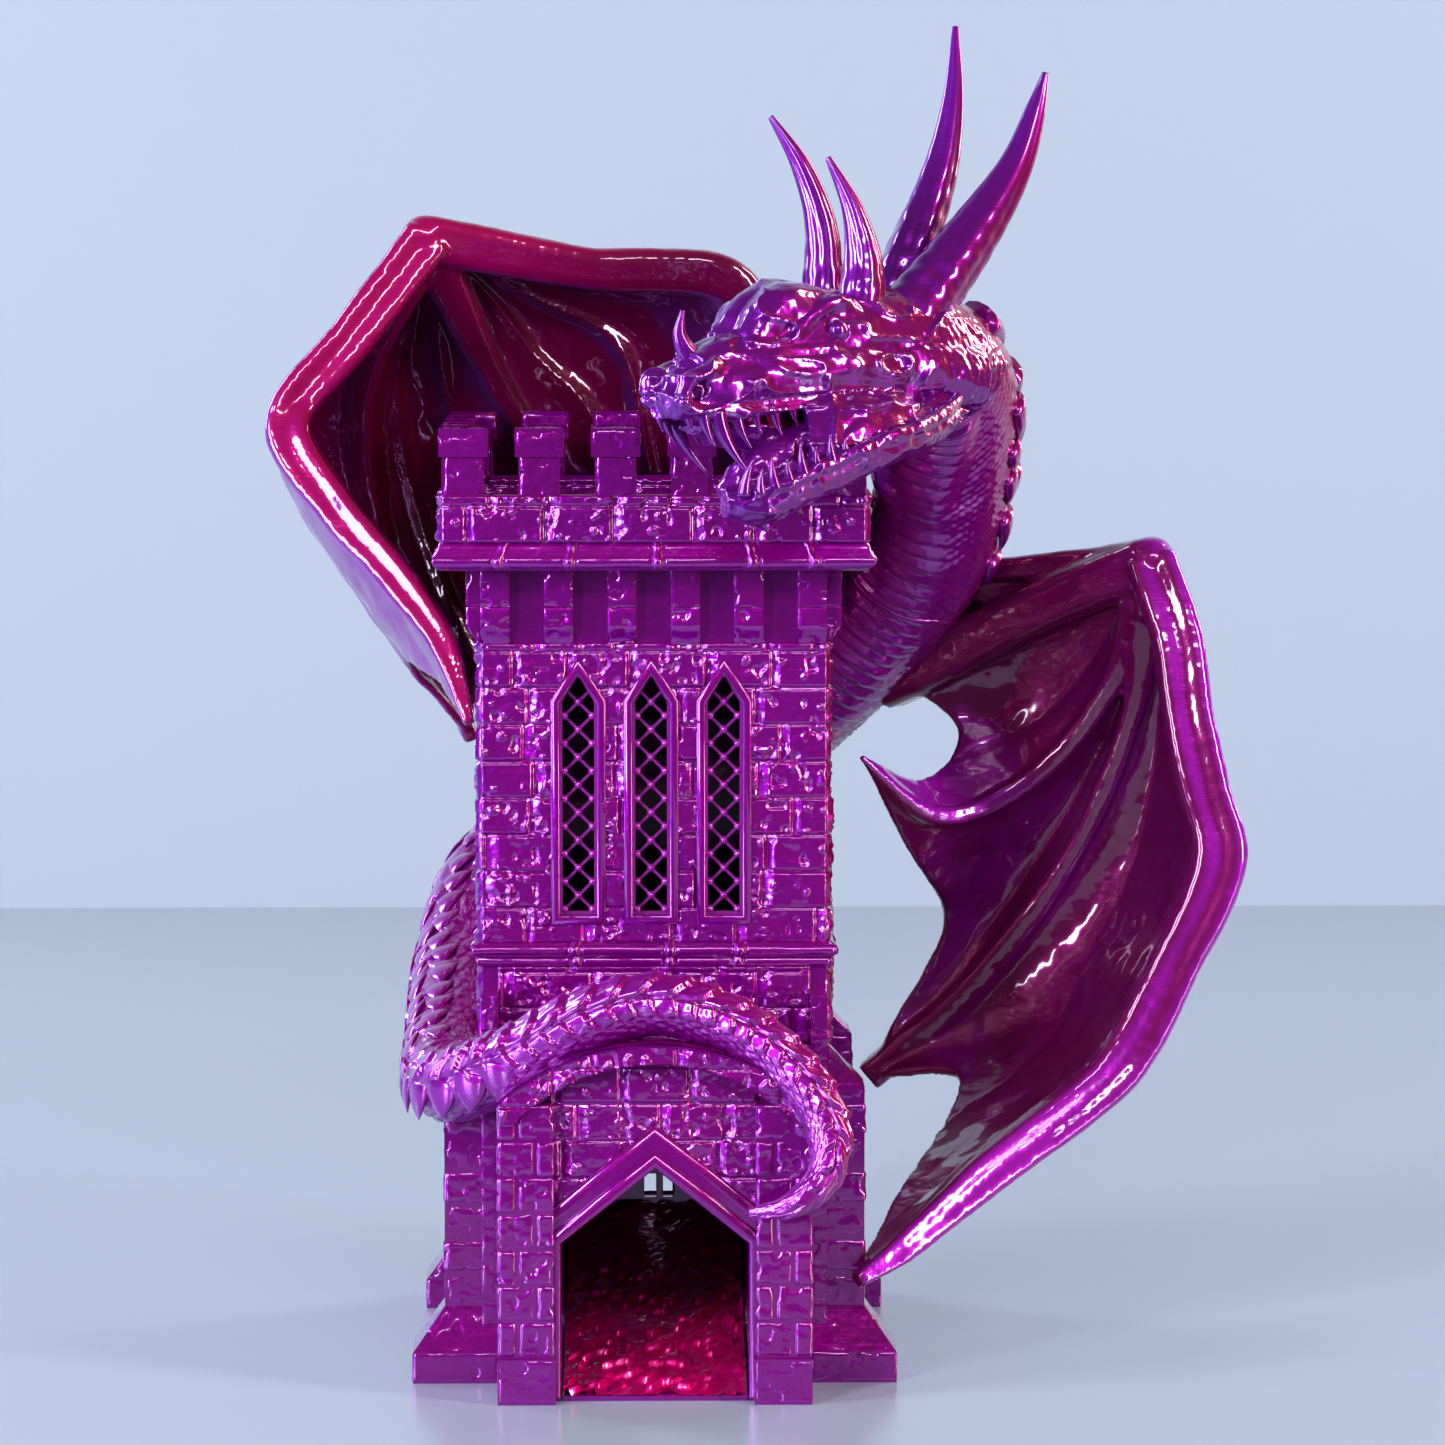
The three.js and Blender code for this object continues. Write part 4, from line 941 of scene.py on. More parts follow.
def bone(shell, rows, seed, bevel):
    path = Path(rows, back=(0, 0, 1) if abs(rows[0][2] - rows[-1][2]) < 40 else (0, 1, 0))

    def worn(s, angle, radius):
        place = np.stack([s, angle * radius, 0 * s], -1)
        return -bevel * radius * np.cos(angle * 4) + noise(place, 11, seed, 1) * 0.3 + 0.04 * radius

    shell.add(*skin(path, worn, step=0.8, around=40))


def wing(name, bones, webs, knobs):
    shell = Shell()
    for k, (part, rows) in enumerate(bones.items()):
        bone(shell, rows, seed=40 + k, bevel=0.2 if part == "lead" else 0.09)
    for k, (a, b, bulge, scoop, folds, deep, late) in enumerate(webs):
        web(shell, a, b, bulge, scoop, folds=folds, deep=deep, late=late, seed=60 + 7 * k)
    for x, y, z, r in knobs:
        shell.add(*ball(np.array([x, y, z]), r))

    def leather(co):
        return noise(co, (8, 8, 6), 91) * 0.2 + noise(co, (2.2, 2.2, 1.8), 92) * 0.075

    out = remeshed(name, shell, 0.62, 7, leather)
    out.points = [keep_out(out.all_points())]
    make(name + "_membrane", out, name, material=MATERIALS[name])


def wings():
    """Each web spans two bones: its bulge, how far its edge is scooped, its folds and their depth."""
    for name, bones, webs, knobs in (
        ("right_wing", RIGHT_WING, (
            ("lead", "middle", (4, 13, -3), 0.24, 2.2, 0.4, 1.7),
            ("middle", "inner", (0, 9, -2), 0.3, 2.4, 0.35, 1.0),
            ("inner", "arm", (0, 6, 0), 0.34, 2.2, 0.45, 1.0),
            ("arm", "brow", (0, 2, 0), 0.05, 2.2, 1.3, 1.0),
        ), [(103.5, 10, 161, 5.5)]),
        ("left_wing", LEFT_WING, (
            ("lead", "middle", (-8, 5, -3), 0.2, 2.2, 0.6, 1.0),
            ("middle", "inner", (-3, 9, 0), 0.2, 2.7, 1.1, 1.0),
            ("inner", "arm", (0, 6, 2), 0.2, 3.2, 1.4, 1.0),
        ), [LEFT_WRIST, (17, 50, 216.5, 6.2)]),
    ):
        rails = {part: rows[::-1] if part in ("arm", "brow") else rows for part, rows in bones.items()}
        wing(name, bones, [(rails[a], rails[b], *rest) for a, b, *rest in webs], knobs)


LEGS = {
    "left_hind_leg": [
        [-12, 62, 101, 9], [-22, 66, 88, 7.6], [-30, 58, 74, 5.6], [-34.5, 50, 66, 4.2],
        [-35.5, 47.5, 55, 3.6], [-35, 46.5, 45, 2.4],
    ],
    "right_hind_leg": [
        [12, 67, 112, 9], [26, 68, 100, 7.6], [33, 59, 85, 5.6], [34.5, 50, 76, 4.2],
        [35, 47.5, 64, 3.6], [34.5, 46.5, 54, 2.4],
    ],
}
# A toe that splays by one, below the ankle: aside, back, up and radius.
TOE = ((0, 0, 0, 2.2), (3, 2.0, -3, 1.9), (5, 0.5, -7, 1.5), (5.6, -1.8, -10.5, 0.5))


def leg_hide(s, angle, radius):
    big = 0.5 + 0.05 * radius
    return (overlap(s / (2.8 * big), angle / (2 * math.pi) * 12) - 0.5) * 0.8 * big


def legs():
    """Hind legs that cling to the back of the tower, each with four clawed toes."""
    for name, rows in LEGS.items():
        shell = Shell()
        shell.add(*skin(Path(rows, back=(0, 1, 0)), leg_hide, step=0.5, around=110))
        ankle = np.array(rows[-1][:3])
        for spread in (-1.0, -0.35, 0.35, 1.0):
            toe = [[*(ankle + [spread * aside, back, up]), r] for aside, back, up, r in TOE]
            shell.add(*skin(Path(toe, back=(0, 1, 0)), step=0.5, around=20))
        make(name + "_hide", shell, name)


# ---------------------------------------------------------------- stonework
def brick_relief(u, z, seed, low):
    """Height of coursed, chiselled bricks: u along the wall, z up, with a course's foot at low."""
    row = np.floor((z - low) / COURSE).astype(int)
    f = (z - low) / COURSE - row
    height = np.zeros_like(u)
    for r in np.unique(row):
        rng = np.random.default_rng(seed * 1000 + int(r) + 500)
        joints = [-60.0 + rng.uniform(0, 10)]
        while joints[-1] < 60:
            joints.append(joints[-1] + rng.uniform(11, 19))
        joints = np.array(joints)
        proud = rng.uniform(0.85, 1.25, len(joints) + 1)
        tilt = rng.uniform(-0.25, 0.25, len(joints) + 1)
        slant = rng.uniform(1.2, 2.3, len(joints) + 1)
        at = row == r
        which = np.searchsorted(joints, u[at])
        left = u[at] - joints[np.clip(which - 1, 0, len(joints) - 1)]
        right = joints[np.clip(which, 0, len(joints) - 1)] - u[at]
        updown = np.minimum(f[at], 1 - f[at]) * COURSE
        ragged = noise(np.stack([u[at] * 0, z[at], which * 9.0], -1), (1, 1.3, 1), seed + 4) * 0.3
        cutaway = np.clip((left - 0.15) / np.maximum(slant[which] + ragged, 0.5), 0, 1)
        edge = cutaway * smooth(0.1, 0.5, right) * smooth(0.05, 0.35, updown)
        height[at] = edge * (proud[which] + tilt[which] * (left / (left + right) - 0.5))
    place = np.stack([u, z, np.full_like(u, seed * 7.0)], -1)
    chisel = noise(place, (3.2, 2.2, 3), seed) * 0.24 + noise(place, (1.1, 0.8, 1), seed + 9) * 0.1
    chips = -0.55 * smooth(0.26, 0.4, noise(place, (2.0, 2.3, 2), seed + 17))
    lumps = 0.4 * smooth(0.3, 0.44, noise(place, (1.7, 1.5, 2), seed + 23))
    return height + (chisel + (chips + lumps)) * smooth(0.05, 0.5, height)


def make_stonework(name, shell, **looks):
    return make(name, shell, slot="tower_silk", **looks)


def turned_round(points, quarter):
    """Points moved from the front to another side of the tower, by quarters of a turn."""
    c, s = math.cos(-quarter * math.pi / 2), math.sin(-quarter * math.pi / 2)
    x, y, z = points[..., 0], points[..., 1], points[..., 2]
    return np.stack([x * c - y * s, x * s + y * c, z], -1)


def wall_skin(shell, plane, quarter, u0, u1, z0, z1, seed, opening=None, low=0.0):
    """Brickwork over a flat wall. Quarter 0 faces -Y, and each further one is the next side round."""
    step = 0.36 if quarter == 0 else 0.5
    nu = int((u1 - u0) / step) + 1
    nz = int((z1 - z0) / step) + 1
    u, z = np.meshgrid(np.linspace(u0, u1, nu), np.linspace(z0, z1, nz), indexing="ij")
    h = brick_relief(u, z, seed, low) + 0.06
    edge = np.minimum(np.minimum(u - u0, u1 - u), np.minimum(z - z0, z1 - z))
    h = np.where(edge < step * 0.5, -0.4, h)
    points = turned_round(np.stack([u, -(plane + h), z], -1), quarter)
    faces = grid_faces(nu, nz)
    if opening is not None:
        gone = opening(u, z).reshape(-1)
        faces = faces[~gone[faces].any(1)]
    shell.add(points, [faces])


BLOCK_STEP = 0.5


def share_up(p, half):
    """How far up a block each point is, from 0 at its foot to 1 at its top."""
    return (p[:, 2] / half[2] + 1) / 2


def rough_block(shell, lo, hi, seed, bevel=0.75, amount=0.22, quarter=0, taper=None):
    """A chiselled stone block with worn edges."""
    lo, hi = np.asarray(lo, float), np.asarray(hi, float)
    centre, half = (lo + hi) / 2, (hi - lo) / 2
    b = min(bevel, half.min() * 0.8)
    for axis in range(3):
        for sign in (-1, 1):
            across, along = (k for k in range(3) if k != axis)
            n0, n1 = (max(int(2 * half[k] / BLOCK_STEP), 5) + 1 for k in (across, along))
            g0, g1 = np.meshgrid(np.linspace(-1, 1, n0), np.linspace(-1, 1, n1), indexing="ij")
            p = np.zeros((n0, n1, 3))
            p[..., axis] = sign * half[axis]
            p[..., across] = g0 * half[across]
            p[..., along] = g1 * half[along]
            p = p.reshape(-1, 3)
            core = np.clip(p, -(half - b), half - b)
            out = unit(p - core)
            p = core + out * b
            rough = noise(p + centre + seed * 3.1, (3, 3, 2.2), seed) * amount
            rough = rough + noise(p + centre, 1, seed + 2) * amount * 0.5
            rough = rough - 0.45 * smooth(0.28, 0.4, noise(p + centre, (2.0, 2.0, 1.9), seed + 6))
            p = p + out * rough[:, None]
            if taper is not None:
                p = taper(p, half)
            faces = grid_faces(n0, n1)
            if (sign > 0) == (axis == 1):
                faces = faces[:, ::-1]
            shell.add(turned_round(p + centre, quarter), [faces])


def square_ring(shell, profile):
    """A moulding round the square tower: profile rows of half width and height, bottom to top."""
    profile = np.asarray(profile, float)
    corners = np.array([[-1, -1], [1, -1], [1, 1], [-1, 1]], float)
    per = 280
    ring = []
    for k in range(4):
        a, b = corners[k], corners[(k + 1) % 4]
        t = np.linspace(0, 1, per, endpoint=False)[:, None]
        ring.append(a + (b - a) * t)
    ring = np.vstack(ring)
    points = np.concatenate([np.column_stack([ring * w, np.full(len(ring), z)]) for w, z in profile])
    run = np.tile(np.arange(len(ring)) / len(ring) * 8 * profile[:, 0].mean(), len(profile))
    rng = np.random.default_rng(int(profile[0, 1]))
    spots = np.cumsum(rng.uniform(12, 20, 40))
    near = np.min(np.abs(run[:, None] - spots[None, :]), axis=1)
    bars = 0.5 * (1 - smooth(0.35, 1.0, near))
    grooves = 0.3 * smooth(0.9, 1.2, near) * (1 - smooth(1.3, 1.7, near))
    jog = noise(points, (4, 4, 1.5), 77) * 0.14 + bars - grooves
    lead = np.abs(points[:, :2]).max(1, keepdims=True)
    outward = np.where(np.abs(points[:, :2]) > lead - 1e-6, np.sign(points[:, :2]), 0)
    points = points + np.column_stack([outward, np.zeros(len(points))]) * jog[:, None]
    shell.add(points, [grid_faces(len(profile), len(ring), wrap=True)])


WINDOW_X = [(cad("lattice_" + n)[0][0] + cad("lattice_" + n)[1][0]) / 2 for n in ("left", "middle", "right")]
REBATE = 0.8
LATTICE_LO, LATTICE_HI = cad("lattice_left")
WINDOW_LOW = LATTICE_LO[2] + REBATE
WINDOW_HIGH = LATTICE_HI[2] - REBATE
WINDOW_HALF = (LATTICE_HI[0] - LATTICE_LO[0]) / 2 - REBATE
WINDOW_ARCH = 5.8
WINDOW_SPRING = WINDOW_HIGH - WINDOW_ARCH
CORBEL_RISE = 15.2


def in_windows(u, z, grow):
    inside = np.zeros(u.shape, bool)
    for x in WINDOW_X:
        d = np.abs(u - x)
        roof = WINDOW_HIGH + grow - d * (WINDOW_ARCH / WINDOW_HALF)
        inside |= (d < WINDOW_HALF + grow) & (z > WINDOW_LOW - grow) & ((z < WINDOW_SPRING) | (z < roof))
    return inside


def upper_walls():
    shell = Shell()

    def window_openings(u, z):
        return in_windows(u, z, 1.0)

    edge, foot, top = SHAFT + 0.3, SPLIT - 0.2, SHAFT_TOP - CORBEL_RISE + 0.4
    for q in range(4):
        wall_skin(shell, SHAFT, q, -edge, edge, foot, top, 11 + q, None if q else window_openings, SPLIT)
    make_stonework("upper_brickwork", shell)
    window_mouldings()
    lattice_knots()
    corbels()


def gable_line(half, low, spring, apex):
    return [(-half, low), (-half, spring), (0, apex), (half, spring), (half, low)]


def frame_bar(shell, line, y, wide, out, closed=False):
    """A raised moulding that follows a line on a wall facing -Y."""
    pts = np.asarray(line, float)
    m = len(pts)
    if closed:
        prev, nxt = np.roll(pts, 1, 0), np.roll(pts, -1, 0)
    else:
        prev = np.vstack([pts[:1] * 2 - pts[1:2], pts[:-1]])
        nxt = np.vstack([pts[1:], pts[-1:] * 2 - pts[-2:-1]])
    d0, d1 = unit(pts - prev), unit(nxt - pts)
    n0 = np.stack([-d0[:, 1], d0[:, 0]], 1)
    n1 = np.stack([-d1[:, 1], d1[:, 0]], 1)
    mid = unit(n0 + n1)
    mitre = mid / np.maximum((mid * n1).sum(1, keepdims=True), 0.3)
    section = [(0, 0), (0.0, 0.75), (0.18, 1), (0.82, 1), (1, 0.75), (1, 0)]
    rows = []
    for a, h in section:
        p = pts + mitre * (a * wide)
        rows.append(np.column_stack([p[:, 0], np.full(m, y - h * out), p[:, 1]]))
    points = np.stack(rows, 1).reshape(-1, 3)
    k = len(section)
    faces = grid_faces(m, k)
    if closed:
        first, last = np.arange(k), np.arange((m - 1) * k, m * k)
        faces = np.vstack([faces, np.stack([last[:-1], first[:-1], first[1:], last[1:]], 1)])
    shell.add(points, [faces])


def window_mouldings():
    shell = Shell()
    for x in WINDOW_X:
        line = gable_line(WINDOW_HALF, WINDOW_LOW, WINDOW_SPRING, WINDOW_HIGH)
        frame_bar(shell, [(x + u, z) for u, z in line], -SHAFT - 0.3, 1.8, 1.25, closed=True)
    make_stonework("window_mouldings", shell, shade=False)


def lattice_knots():
    """Rounded knots where the window bars cross."""
    shell = Shell()
    pitch, width = 5.6, 2 * WINDOW_HALF
    y = cad("lattice_left")[0][1] + 0.5
    for x in WINDOW_X:
        for k in range(-3, 24):
            for m in (-2, -1, 0, 1, 2):
                u = m * pitch / 2
                z = WINDOW_LOW - width + k * pitch + abs(m) % 2 * pitch / 2
                roof = WINDOW_HIGH - abs(u) * WINDOW_ARCH / WINDOW_HALF
                if abs(u) < WINDOW_HALF + 0.6 and WINDOW_LOW < z < roof:
                    shell.add(*ball((x + u, y, z), 0.85, around=12))
    # the knots take the lattice silk, lightened as painted light
    make_stonework("lattice_knots", shell, material=MATERIALS["lattice"])


def corbels():
    """Six stepped brackets under the crown on each side, each of two stones."""
    shell = Shell()
    count, width = 6, 5.7
    pitch = (2 * SHAFT - width) / (count - 1)
    foot = SHAFT_TOP - CORBEL_RISE

    def toe(p, half):
        f = share_up(p, half)
        pull = (1 - smooth(0.0, 0.55, f)) * 2.1
        front = p[:, 1] < 0
        p = p.copy()
        p[front, 1] += pull[front]
        return p

    for q in range(4):
        for k in range(count):
            x = -SHAFT + k * pitch
            for part, taper in enumerate((toe, None)):
                lo = [x - 0.1, -SHAFT - 3.15, foot + part * CORBEL_RISE / 2]
                hi = [x + width + 0.1, -SHAFT + 0.5, foot + (part + 1) * CORBEL_RISE / 2]
                rough_block(shell, lo, hi, 200 + q * 20 + k * 2 + part, 0.4, 0.14, q, taper)
    make_stonework("corbels", shell)


def crown_stones():
    """The parapet inside and out, its cornice, and six battlements to a side."""
    shell = Shell()
    wall = CORNICE - 1.9
    foot = SHAFT_TOP + 5.5
    parapet = SHAFT_TOP + 14.9
    inner = wall - 4.6
    for q in range(4):
        wall_skin(shell, wall, q, -wall - 0.2, wall + 0.2, foot - 0.3, parapet + 0.3, 31 + q, low=foot)
        wall_skin(shell, -inner, q, -inner, inner, foot + 2, parapet - 0.5, 41 + q, low=foot)
    cornice = (
        (SHAFT + 6.6, -0.05), (SHAFT + 8.4, 0.2), (CORNICE - 0.1, 1.2), (CORNICE + 0.05, 1.9),
        (CORNICE - 0.15, 2.6), (CORNICE - 1.0, 3.4), (wall + 0.5, 4.6), (wall + 0.1, 5.6), (wall - 0.8, 5.9),
    )
    square_ring(shell, [(half, SHAFT_TOP + above) for half, above in cornice])
    count, width, cap, shank, rise, lip = 6, 8.0, 9.8, 7.8, 13.5, 0.6
    span = 2 * (wall + lip)
    pitch = (span - cap) / (count - 1)

    def flare(p, half):
        p = p.copy()
        f = share_up(p, half)
        grow = 1 - 0.13 * (1 - smooth(0.0, 0.5, f)) - 0.05 * smooth(0.75, 1.0, f)
        p[:, :2] *= grow[:, None]
        return p

    for q in range(4):
        for k in range(count - 1):
            c = (cap - span) / 2 + k * pitch
            edge = min(max(c, -wall + width / 2), wall - width / 2)
            deep = (-wall - 0.1, -inner + 0.1) if k else (-wall - 0.1, -wall + width - 0.1)
            lo = [edge - width / 2 - 0.1, deep[0], parapet - 0.5]
            hi = [edge + width / 2 + 0.1, deep[1], parapet + shank + 0.6]
            rough_block(shell, lo, hi, 300 + q * 20 + k, 0.75, 0.16, q)
            deep = (-wall - lip - 0.1, -inner + lip + 0.1) if k else (-wall - lip - 0.1, -wall - lip + cap)
            lo = [c - cap / 2 - 0.1, deep[0], parapet + shank - 0.2]
            hi = [c + cap / 2 + 0.1, deep[1], parapet + rise + 0.1]
            rough_block(shell, lo, hi, 400 + q * 20 + k, 0.8, 0.16, q, flare)
    make_stonework("crown_stonework", shell)


def lower_walls():
    shell = Shell()

    def door(u, z):
        return (np.abs(u) < PORCH_HALF - 2) & (z < EAVES)

    def loopholes(u, z):
        """Two narrow slits side by side, a little off the middle of the back wall."""
        from_slit = np.abs(np.abs(-u - 1.2) - 1.9)
        return (from_slit < 0.85) & (z > 25) & (z < 28.4)

    openings = {0: door, 2: loopholes}
    for q in range(4):
        wall_skin(shell, SHAFT, q, -SHAFT + 3.0, SHAFT - 3.0, 0.0, SPLIT - 4.3, 21 + q, openings.get(q))
    string_course = (
        (0.2, -4.6), (1.1, -4.2), (1.15, -3.0), (0.75, -2.7), (0.8, -2.4), (1.9, -2.0), (2.1, -1.1),
        (1.7, -0.3), (0.1, 0.8),
    )
    square_ring(shell, [(SHAFT + out, SPLIT + above) for out, above in string_course])
    make_stonework("lower_brickwork", shell)
    piers()


def leaning(pull):
    """A taper for a block at a corner: its outer faces lean in by pull from foot to top."""

    def taper(p, half):
        p = p.copy()
        f = share_up(p, half)
        for axis in (0, 1):
            share = np.clip((half[axis] - p[:, axis]) / (2 * half[axis]), 0, 1)
            p[:, axis] += f * pull * share
        return p

    return taper


def piers():
    """Corner piers in alternating stones, with a splayed foot and a weathered shoulder."""
    shell = Shell()
    splay = 6.3
    out = FOOT - splay
    back = -(SHAFT - 3.3) + 0.1
    shoulder, top = SPLIT - 28, SPLIT - 20.5
    edges = [*np.arange(14.5, shoulder - 1, COURSE * 0.93), shoulder]
    for q in range(4):
        for k, (a, b) in enumerate(zip(edges, edges[1:])):
            jut = 0.28 if k % 2 else 0.05
            lo = [-out - jut, -out - jut, a + 0.12]
            hi = [back + (0.5 if k % 2 else 0), back, b - 0.12]
            rough_block(shell, lo, hi, 500 + q * 20 + k, 1.0, 0.2, q)
        for reach, low, high, seed, bevel, amount, taper in (
            (out + 0.15, shoulder, top + 0.3, 560, 0.75, 0.15, leaning(out - SHAFT)),
            (FOOT + 0.1, 6.0, 14.7, 580, 0.75, 0.15, leaning(splay)),
            (FOOT + 0.15, 0.02, 6.3, 600, 0.7, 0.12, None),
        ):
            inner = back if taper else back + 0.05
            rough_block(shell, [-reach, -reach, low], [inner, inner, high], seed + q, bevel, amount, q, taper)
    for side in (-1, 1):
        near, far = sorted((side * (PORCH_HALF + GAP), side * (PORCH_HALF + GAP + 3.4)))
        for k in range(10):
            lo = [near, -SHAFT - 10.15, k * 7.8 + 0.1]
            hi = [far, -SHAFT + 0.2, k * 7.8 + 7.7]
            rough_block(shell, lo, hi, 640 + k + side, 0.4, 0.14)
    make_stonework("piers", shell)


DOOR_HALF, DOOR_SPRING, DOOR_RISE = 18.5, 31.7, 14.9
DOOR_SLOPE = DOOR_RISE / DOOR_HALF
EAVES = 60.0
PILASTER_FRONT = PLINTH_FRONT - 1.6
TYMPANUM = PILASTER_FRONT - 4.5
PORCH_BACK = -SHAFT - 0.5


def porch_arch(inset):
    """The radius of the porch's arched roof and the height of its centre."""
    half, rise = PORCH_HALF - inset, PORCH_TOP - EAVES
    radius = (half * half + rise * rise) / (2 * rise)
    return radius, EAVES - inset + rise - radius


def pilaster(shell, side):
    """One side of the porch's front: a plinth, and coursed stones in two columns over it."""
    inner, outer = PORCH_HALF - 11, PORCH_HALF
    levels = np.linspace(9.2, 59.6, 8)
    for k, (a, b) in enumerate(zip(levels, levels[1:])):
        low, high = a + 0.12, b - 0.12
        split = inner + (3.6 if k % 2 else 7.2)
        for m, (near, far) in enumerate(((inner - 0.2, split - 0.3), (split + 0.3, outer + 0.1))):
            left, right = sorted((side * near, side * far))
            front = -PILASTER_FRONT - 0.25 - 0.3 * ((k + m) % 2)
            lo, hi = [left, front, low], [right, -PILASTER_FRONT + 9, high]
            rough_block(shell, lo, hi, 700 + 2 * k + m + 40 * side, 0.8, 0.18)
        left, right = sorted((side * (outer - 1), side * (outer + 0.1)))
        lo, hi = [left, -PILASTER_FRONT + 8, low], [right, PORCH_BACK, high]
        rough_block(shell, lo, hi, 730 + k + 40 * side, 0.4, 0.18)
    left, right = sorted((side * (inner - 0.5), side * (outer + 0.1)))
    lo, hi = [left, -PLINTH_FRONT - 0.1, 0.02], [right, PORCH_BACK, 9.1]
    rough_block(shell, lo, hi, 760 + side, 0.8, 0.14)


def porch_front():
    shell = Shell()
    radius, centre = porch_arch(4.0)
    outer_radius, outer_centre = porch_arch(0.0)

    def outside(u, z):
        gable = DOOR_SPRING + DOOR_RISE + 6 - np.abs(u) * DOOR_SLOPE
        door = (np.abs(u) < DOOR_HALF + 4) & (z < gable)
        return door | (u * u + (z - centre) ** 2 > (radius + 0.3) ** 2)

    def off_arch(u, z):
        inner = u * u + (z - centre) ** 2 < (radius + 0.2) ** 2
        return inner | (u * u + (z - outer_centre) ** 2 > (outer_radius - 0.2) ** 2)

    wall_skin(shell, TYMPANUM, 0, -21, 21, 10, PORCH_TOP, 71, outside)
    wall_skin(shell, PILASTER_FRONT, 0, -PORCH_HALF, PORCH_HALF, 55, PORCH_TOP, 72, off_arch)
    for side in (-1, 1):
        pilaster(shell, side)
    make_stonework("porch_stonework", shell)
    porch_roof(outer_radius, outer_centre)
    door = Shell()
    apex = DOOR_SPRING + DOOR_RISE
    frame_bar(door, gable_line(DOOR_HALF, 1.0, DOOR_SPRING, apex), -TYMPANUM - 1.2, 2.7, 2.4)
    half, spring = DOOR_HALF + 2.2, DOOR_SPRING + 2.6
    frame_bar(door, gable_line(half, 12.0, spring, spring + half * DOOR_SLOPE), -TYMPANUM, 3.1, 2.3)
    make_stonework("door_mouldings", door, shade=False)


def porch_roof(radius, centre):
    """Curved rows of slates over the porch's arch."""
    spread = math.asin(PORCH_HALF / radius)
    n_round, n_deep = 170, 90
    turns = np.linspace(-spread, spread, n_round)
    a, y = np.meshgrid(turns, np.linspace(-PILASTER_FRONT, PORCH_BACK, n_deep), indexing="ij")
    rough = noise(np.stack([a * radius, y, 0 * a], -1), (3, 3, 3), 81) * 0.2
    slates = 0.3 * (np.mod(y / 5.4, 1) - 0.4)
    r = radius + 0.15 + rough + slates
    roof = Shell()
    points = np.stack([np.sin(a) * r, y, centre + np.cos(a) * r], -1)
    roof.add(points, [grid_faces(n_round, n_deep)[:, ::-1]])
    make_stonework("porch_roof", roof)


def ramp_top():
    """The ramp's surface, streaked with long slanting ridges."""
    lo, hi = cad("exit_ramp")
    rise, run = hi[2] - 1.0, hi[1] - lo[1]
    half = DOOR_HALF - 0.5
    nx, ny = 150, 380
    x, y = np.meshgrid(np.linspace(-half, half, nx), np.linspace(lo[1] + 0.2, hi[1] - 0.2, ny), indexing="ij")
    base = 1.0 + (y - lo[1]) * rise / run
    a, b = x * 0.64 + y * 0.77, y * 0.64 - x * 0.77
    place = np.stack([a, b, 0 * a], -1)
    ridges = smooth(0.0, 0.4, noise(place, (4.6, 1.3, 1), 51, 1))
    ridges = ridges * smooth(-0.5, 0.2, noise(place, (2.6, 2.6, 1), 53, 1))
    z = base + 0.1 + ridges * 1.4 + noise(place, (2.0, 0.8, 1), 55) * 0.2
    shell = Shell()
    shell.add(np.stack([x, y, z], -1), [grid_faces(nx, ny)])
    # the ramp's silk is brightened as painted light falling in at the door
    make_stonework("ramp_texture", shell, material=MATERIALS["ramp"])


# ---------------------------------------------------------------- put together
body()
tail_fan()
horns()
skull()
lower_jaw()
wings()
legs()
upper_walls()
crown_stones()
lower_walls()
porch_front()
ramp_top()


# ---------------------------------------------------------------- stage, light and camera
def plain(name, colour, roughness):
    mat = bpy.data.materials.new(name)
    mat.use_nodes = True
    shader = mat.node_tree.nodes["Principled BSDF"]
    shader.inputs["Base Color"].default_value = (*colour, 1)
    shader.inputs["Roughness"].default_value = roughness
    return mat


def backdrop(name, corners, paint):
    mesh = bpy.data.meshes.new(name)
    mesh.from_pydata(corners, [], [(0, 1, 2, 3)])
    mesh.materials.append(paint)
    add_object(name, mesh)


CENTRE = (0, 0, 0.13)
PALE = (0.88, 0.83, 1)
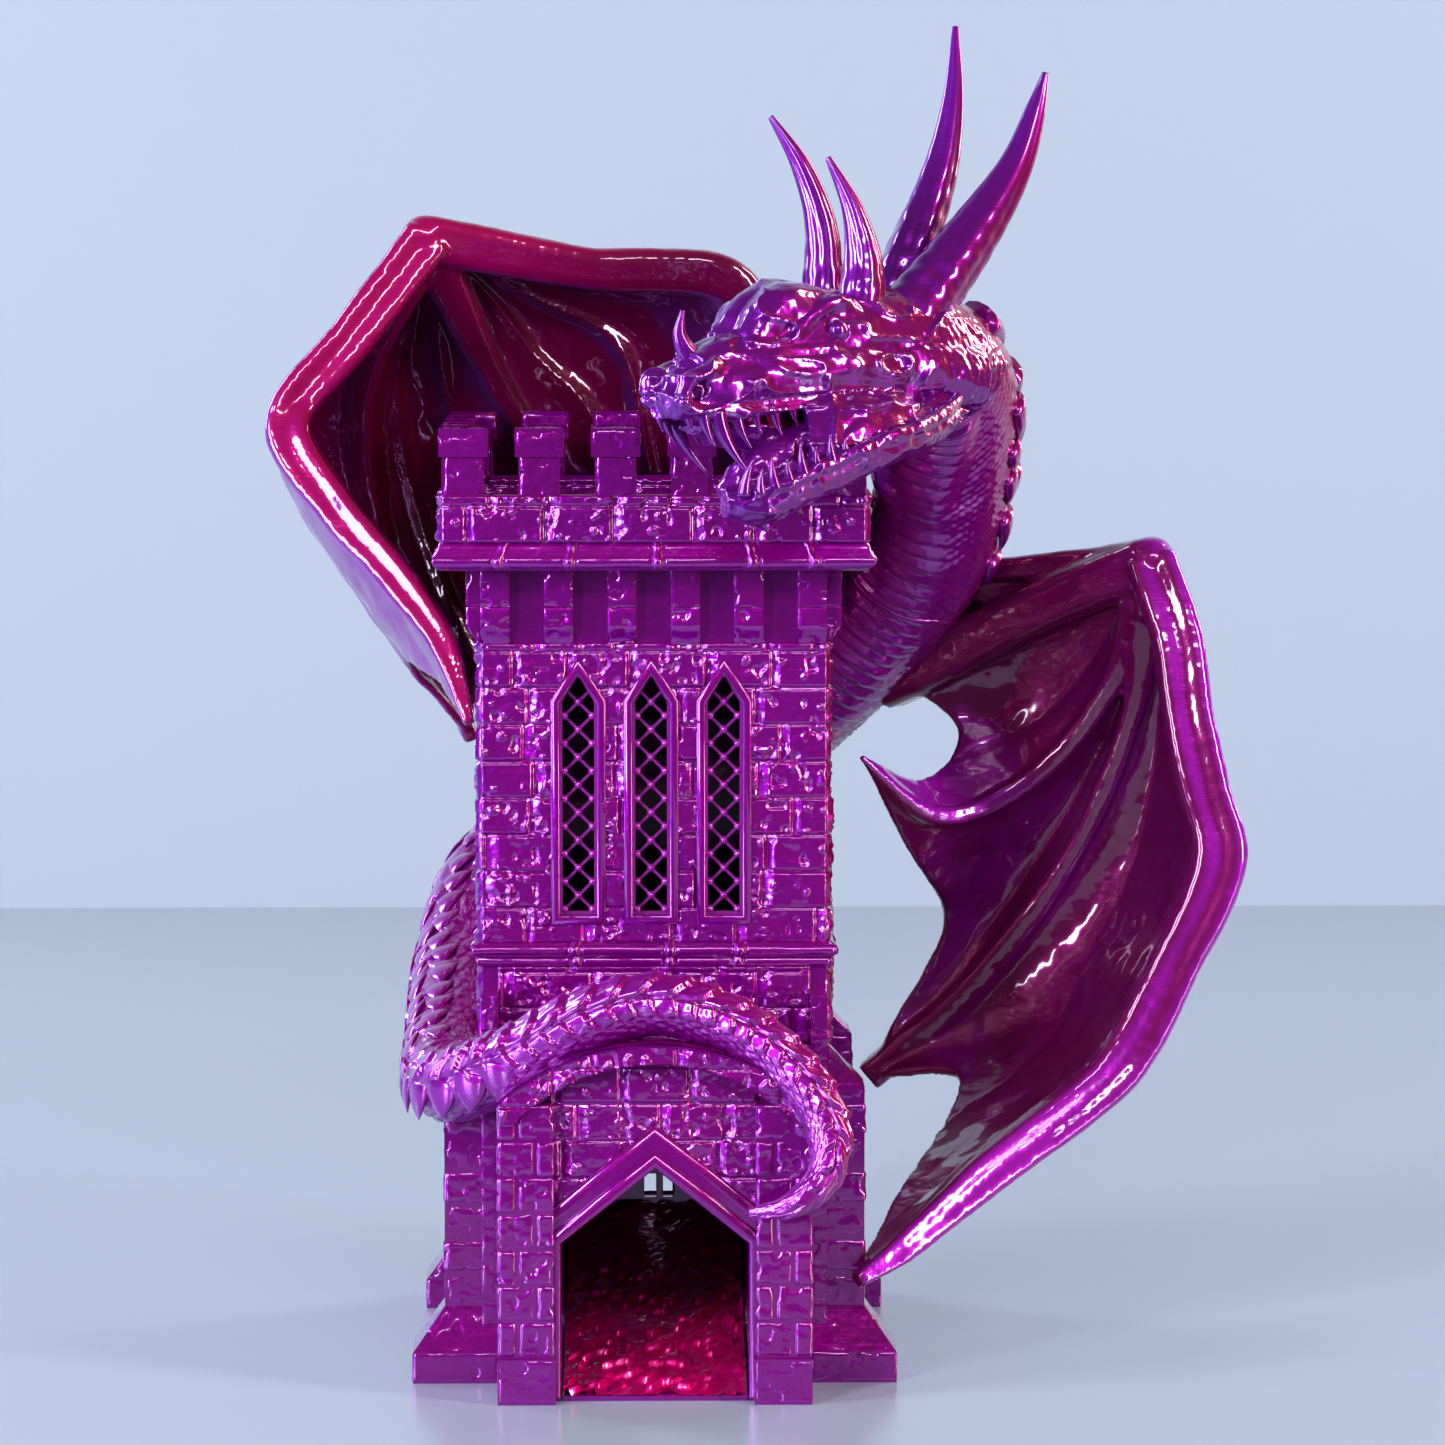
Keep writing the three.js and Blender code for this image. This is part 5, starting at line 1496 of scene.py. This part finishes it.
# Each light panel: where it stands, its width and height, and its power.
PANELS = {
    "key": ((-0.66, -1.03, 0.52), (0.16, 0.85), 13),
    "left_strip": ((-0.92, -0.48, 0.4), (0.3, 0.8), 14),
    "right_strip": ((0.9, -0.55, 0.42), (0.16, 0.8), 13),
    "front": ((0.3, -1.35, 1.05), (0.8, 0.14), 8),
    "rim_left": ((-0.75, 0.45, 0.55), (0.15, 0.6), 5),
    "rim_right": ((0.75, 0.45, 0.55), (0.15, 0.6), 5),
}


def panel(name, at, size, power):
    light = bpy.data.lights.new(name, "AREA")
    light.shape = "RECTANGLE"
    light.size, light.size_y = size
    light.energy = power
    light.color = PALE
    obj = add_object(name, light)
    obj.location = at
    obj.rotation_mode = "QUATERNION"
    obj.rotation_quaternion = (Vector(CENTRE) - Vector(at)).to_track_quat("-Z", "Y")


def studio():
    """A floor and a wall in metres, a dim world, the light panels and the camera."""
    w, behind, tall = 4.0, 0.725, 3
    floor = [(-w, -0.3, 0), (w, -0.3, 0), (w, w, 0), (-w, w, 0)]
    backdrop("floor", floor, plain("floor_paint", (0.33, 0.395, 0.42), 0.22))
    paint = plain("wall_paint", (0.335, 0.41, 0.44), 0.7)
    # seen from behind, the wall isn't there
    nodes, links = paint.node_tree.nodes, paint.node_tree.links
    mix = nodes.new("ShaderNodeMixShader")
    links.new(nodes.new("ShaderNodeNewGeometry").outputs["Backfacing"], mix.inputs[0])
    links.new(nodes["Principled BSDF"].outputs[0], mix.inputs[1])
    links.new(nodes.new("ShaderNodeBsdfTransparent").outputs[0], mix.inputs[2])
    links.new(mix.outputs[0], nodes["Material Output"].inputs["Surface"])
    backdrop("wall", [(-w, behind, 0), (w, behind, 0), (w, behind, tall), (-w, behind, tall)], paint)
    world = bpy.data.worlds.new("studio")
    bpy.context.scene.world = world
    world.use_nodes = True
    background = world.node_tree.nodes["Background"]
    background.inputs["Color"].default_value = (0.75, 0.82, 1, 1)
    background.inputs["Strength"].default_value = 0.08
    for name, (at, size, power) in PANELS.items():
        panel(name, at, size, power)

    camera = bpy.data.cameras.new("camera")
    camera.sensor_width = 36
    camera.lens = 149.5
    camera.clip_end = 20
    eye = add_object("camera", camera)
    eye.location = (-0.003, -1.2346, 0.2437)
    eye.rotation_euler = (math.radians(90 - 5.33), 0, math.radians(-0.8))
    bpy.context.scene.camera = eye
    bpy.context.scene.view_settings.view_transform = "Standard"


studio()
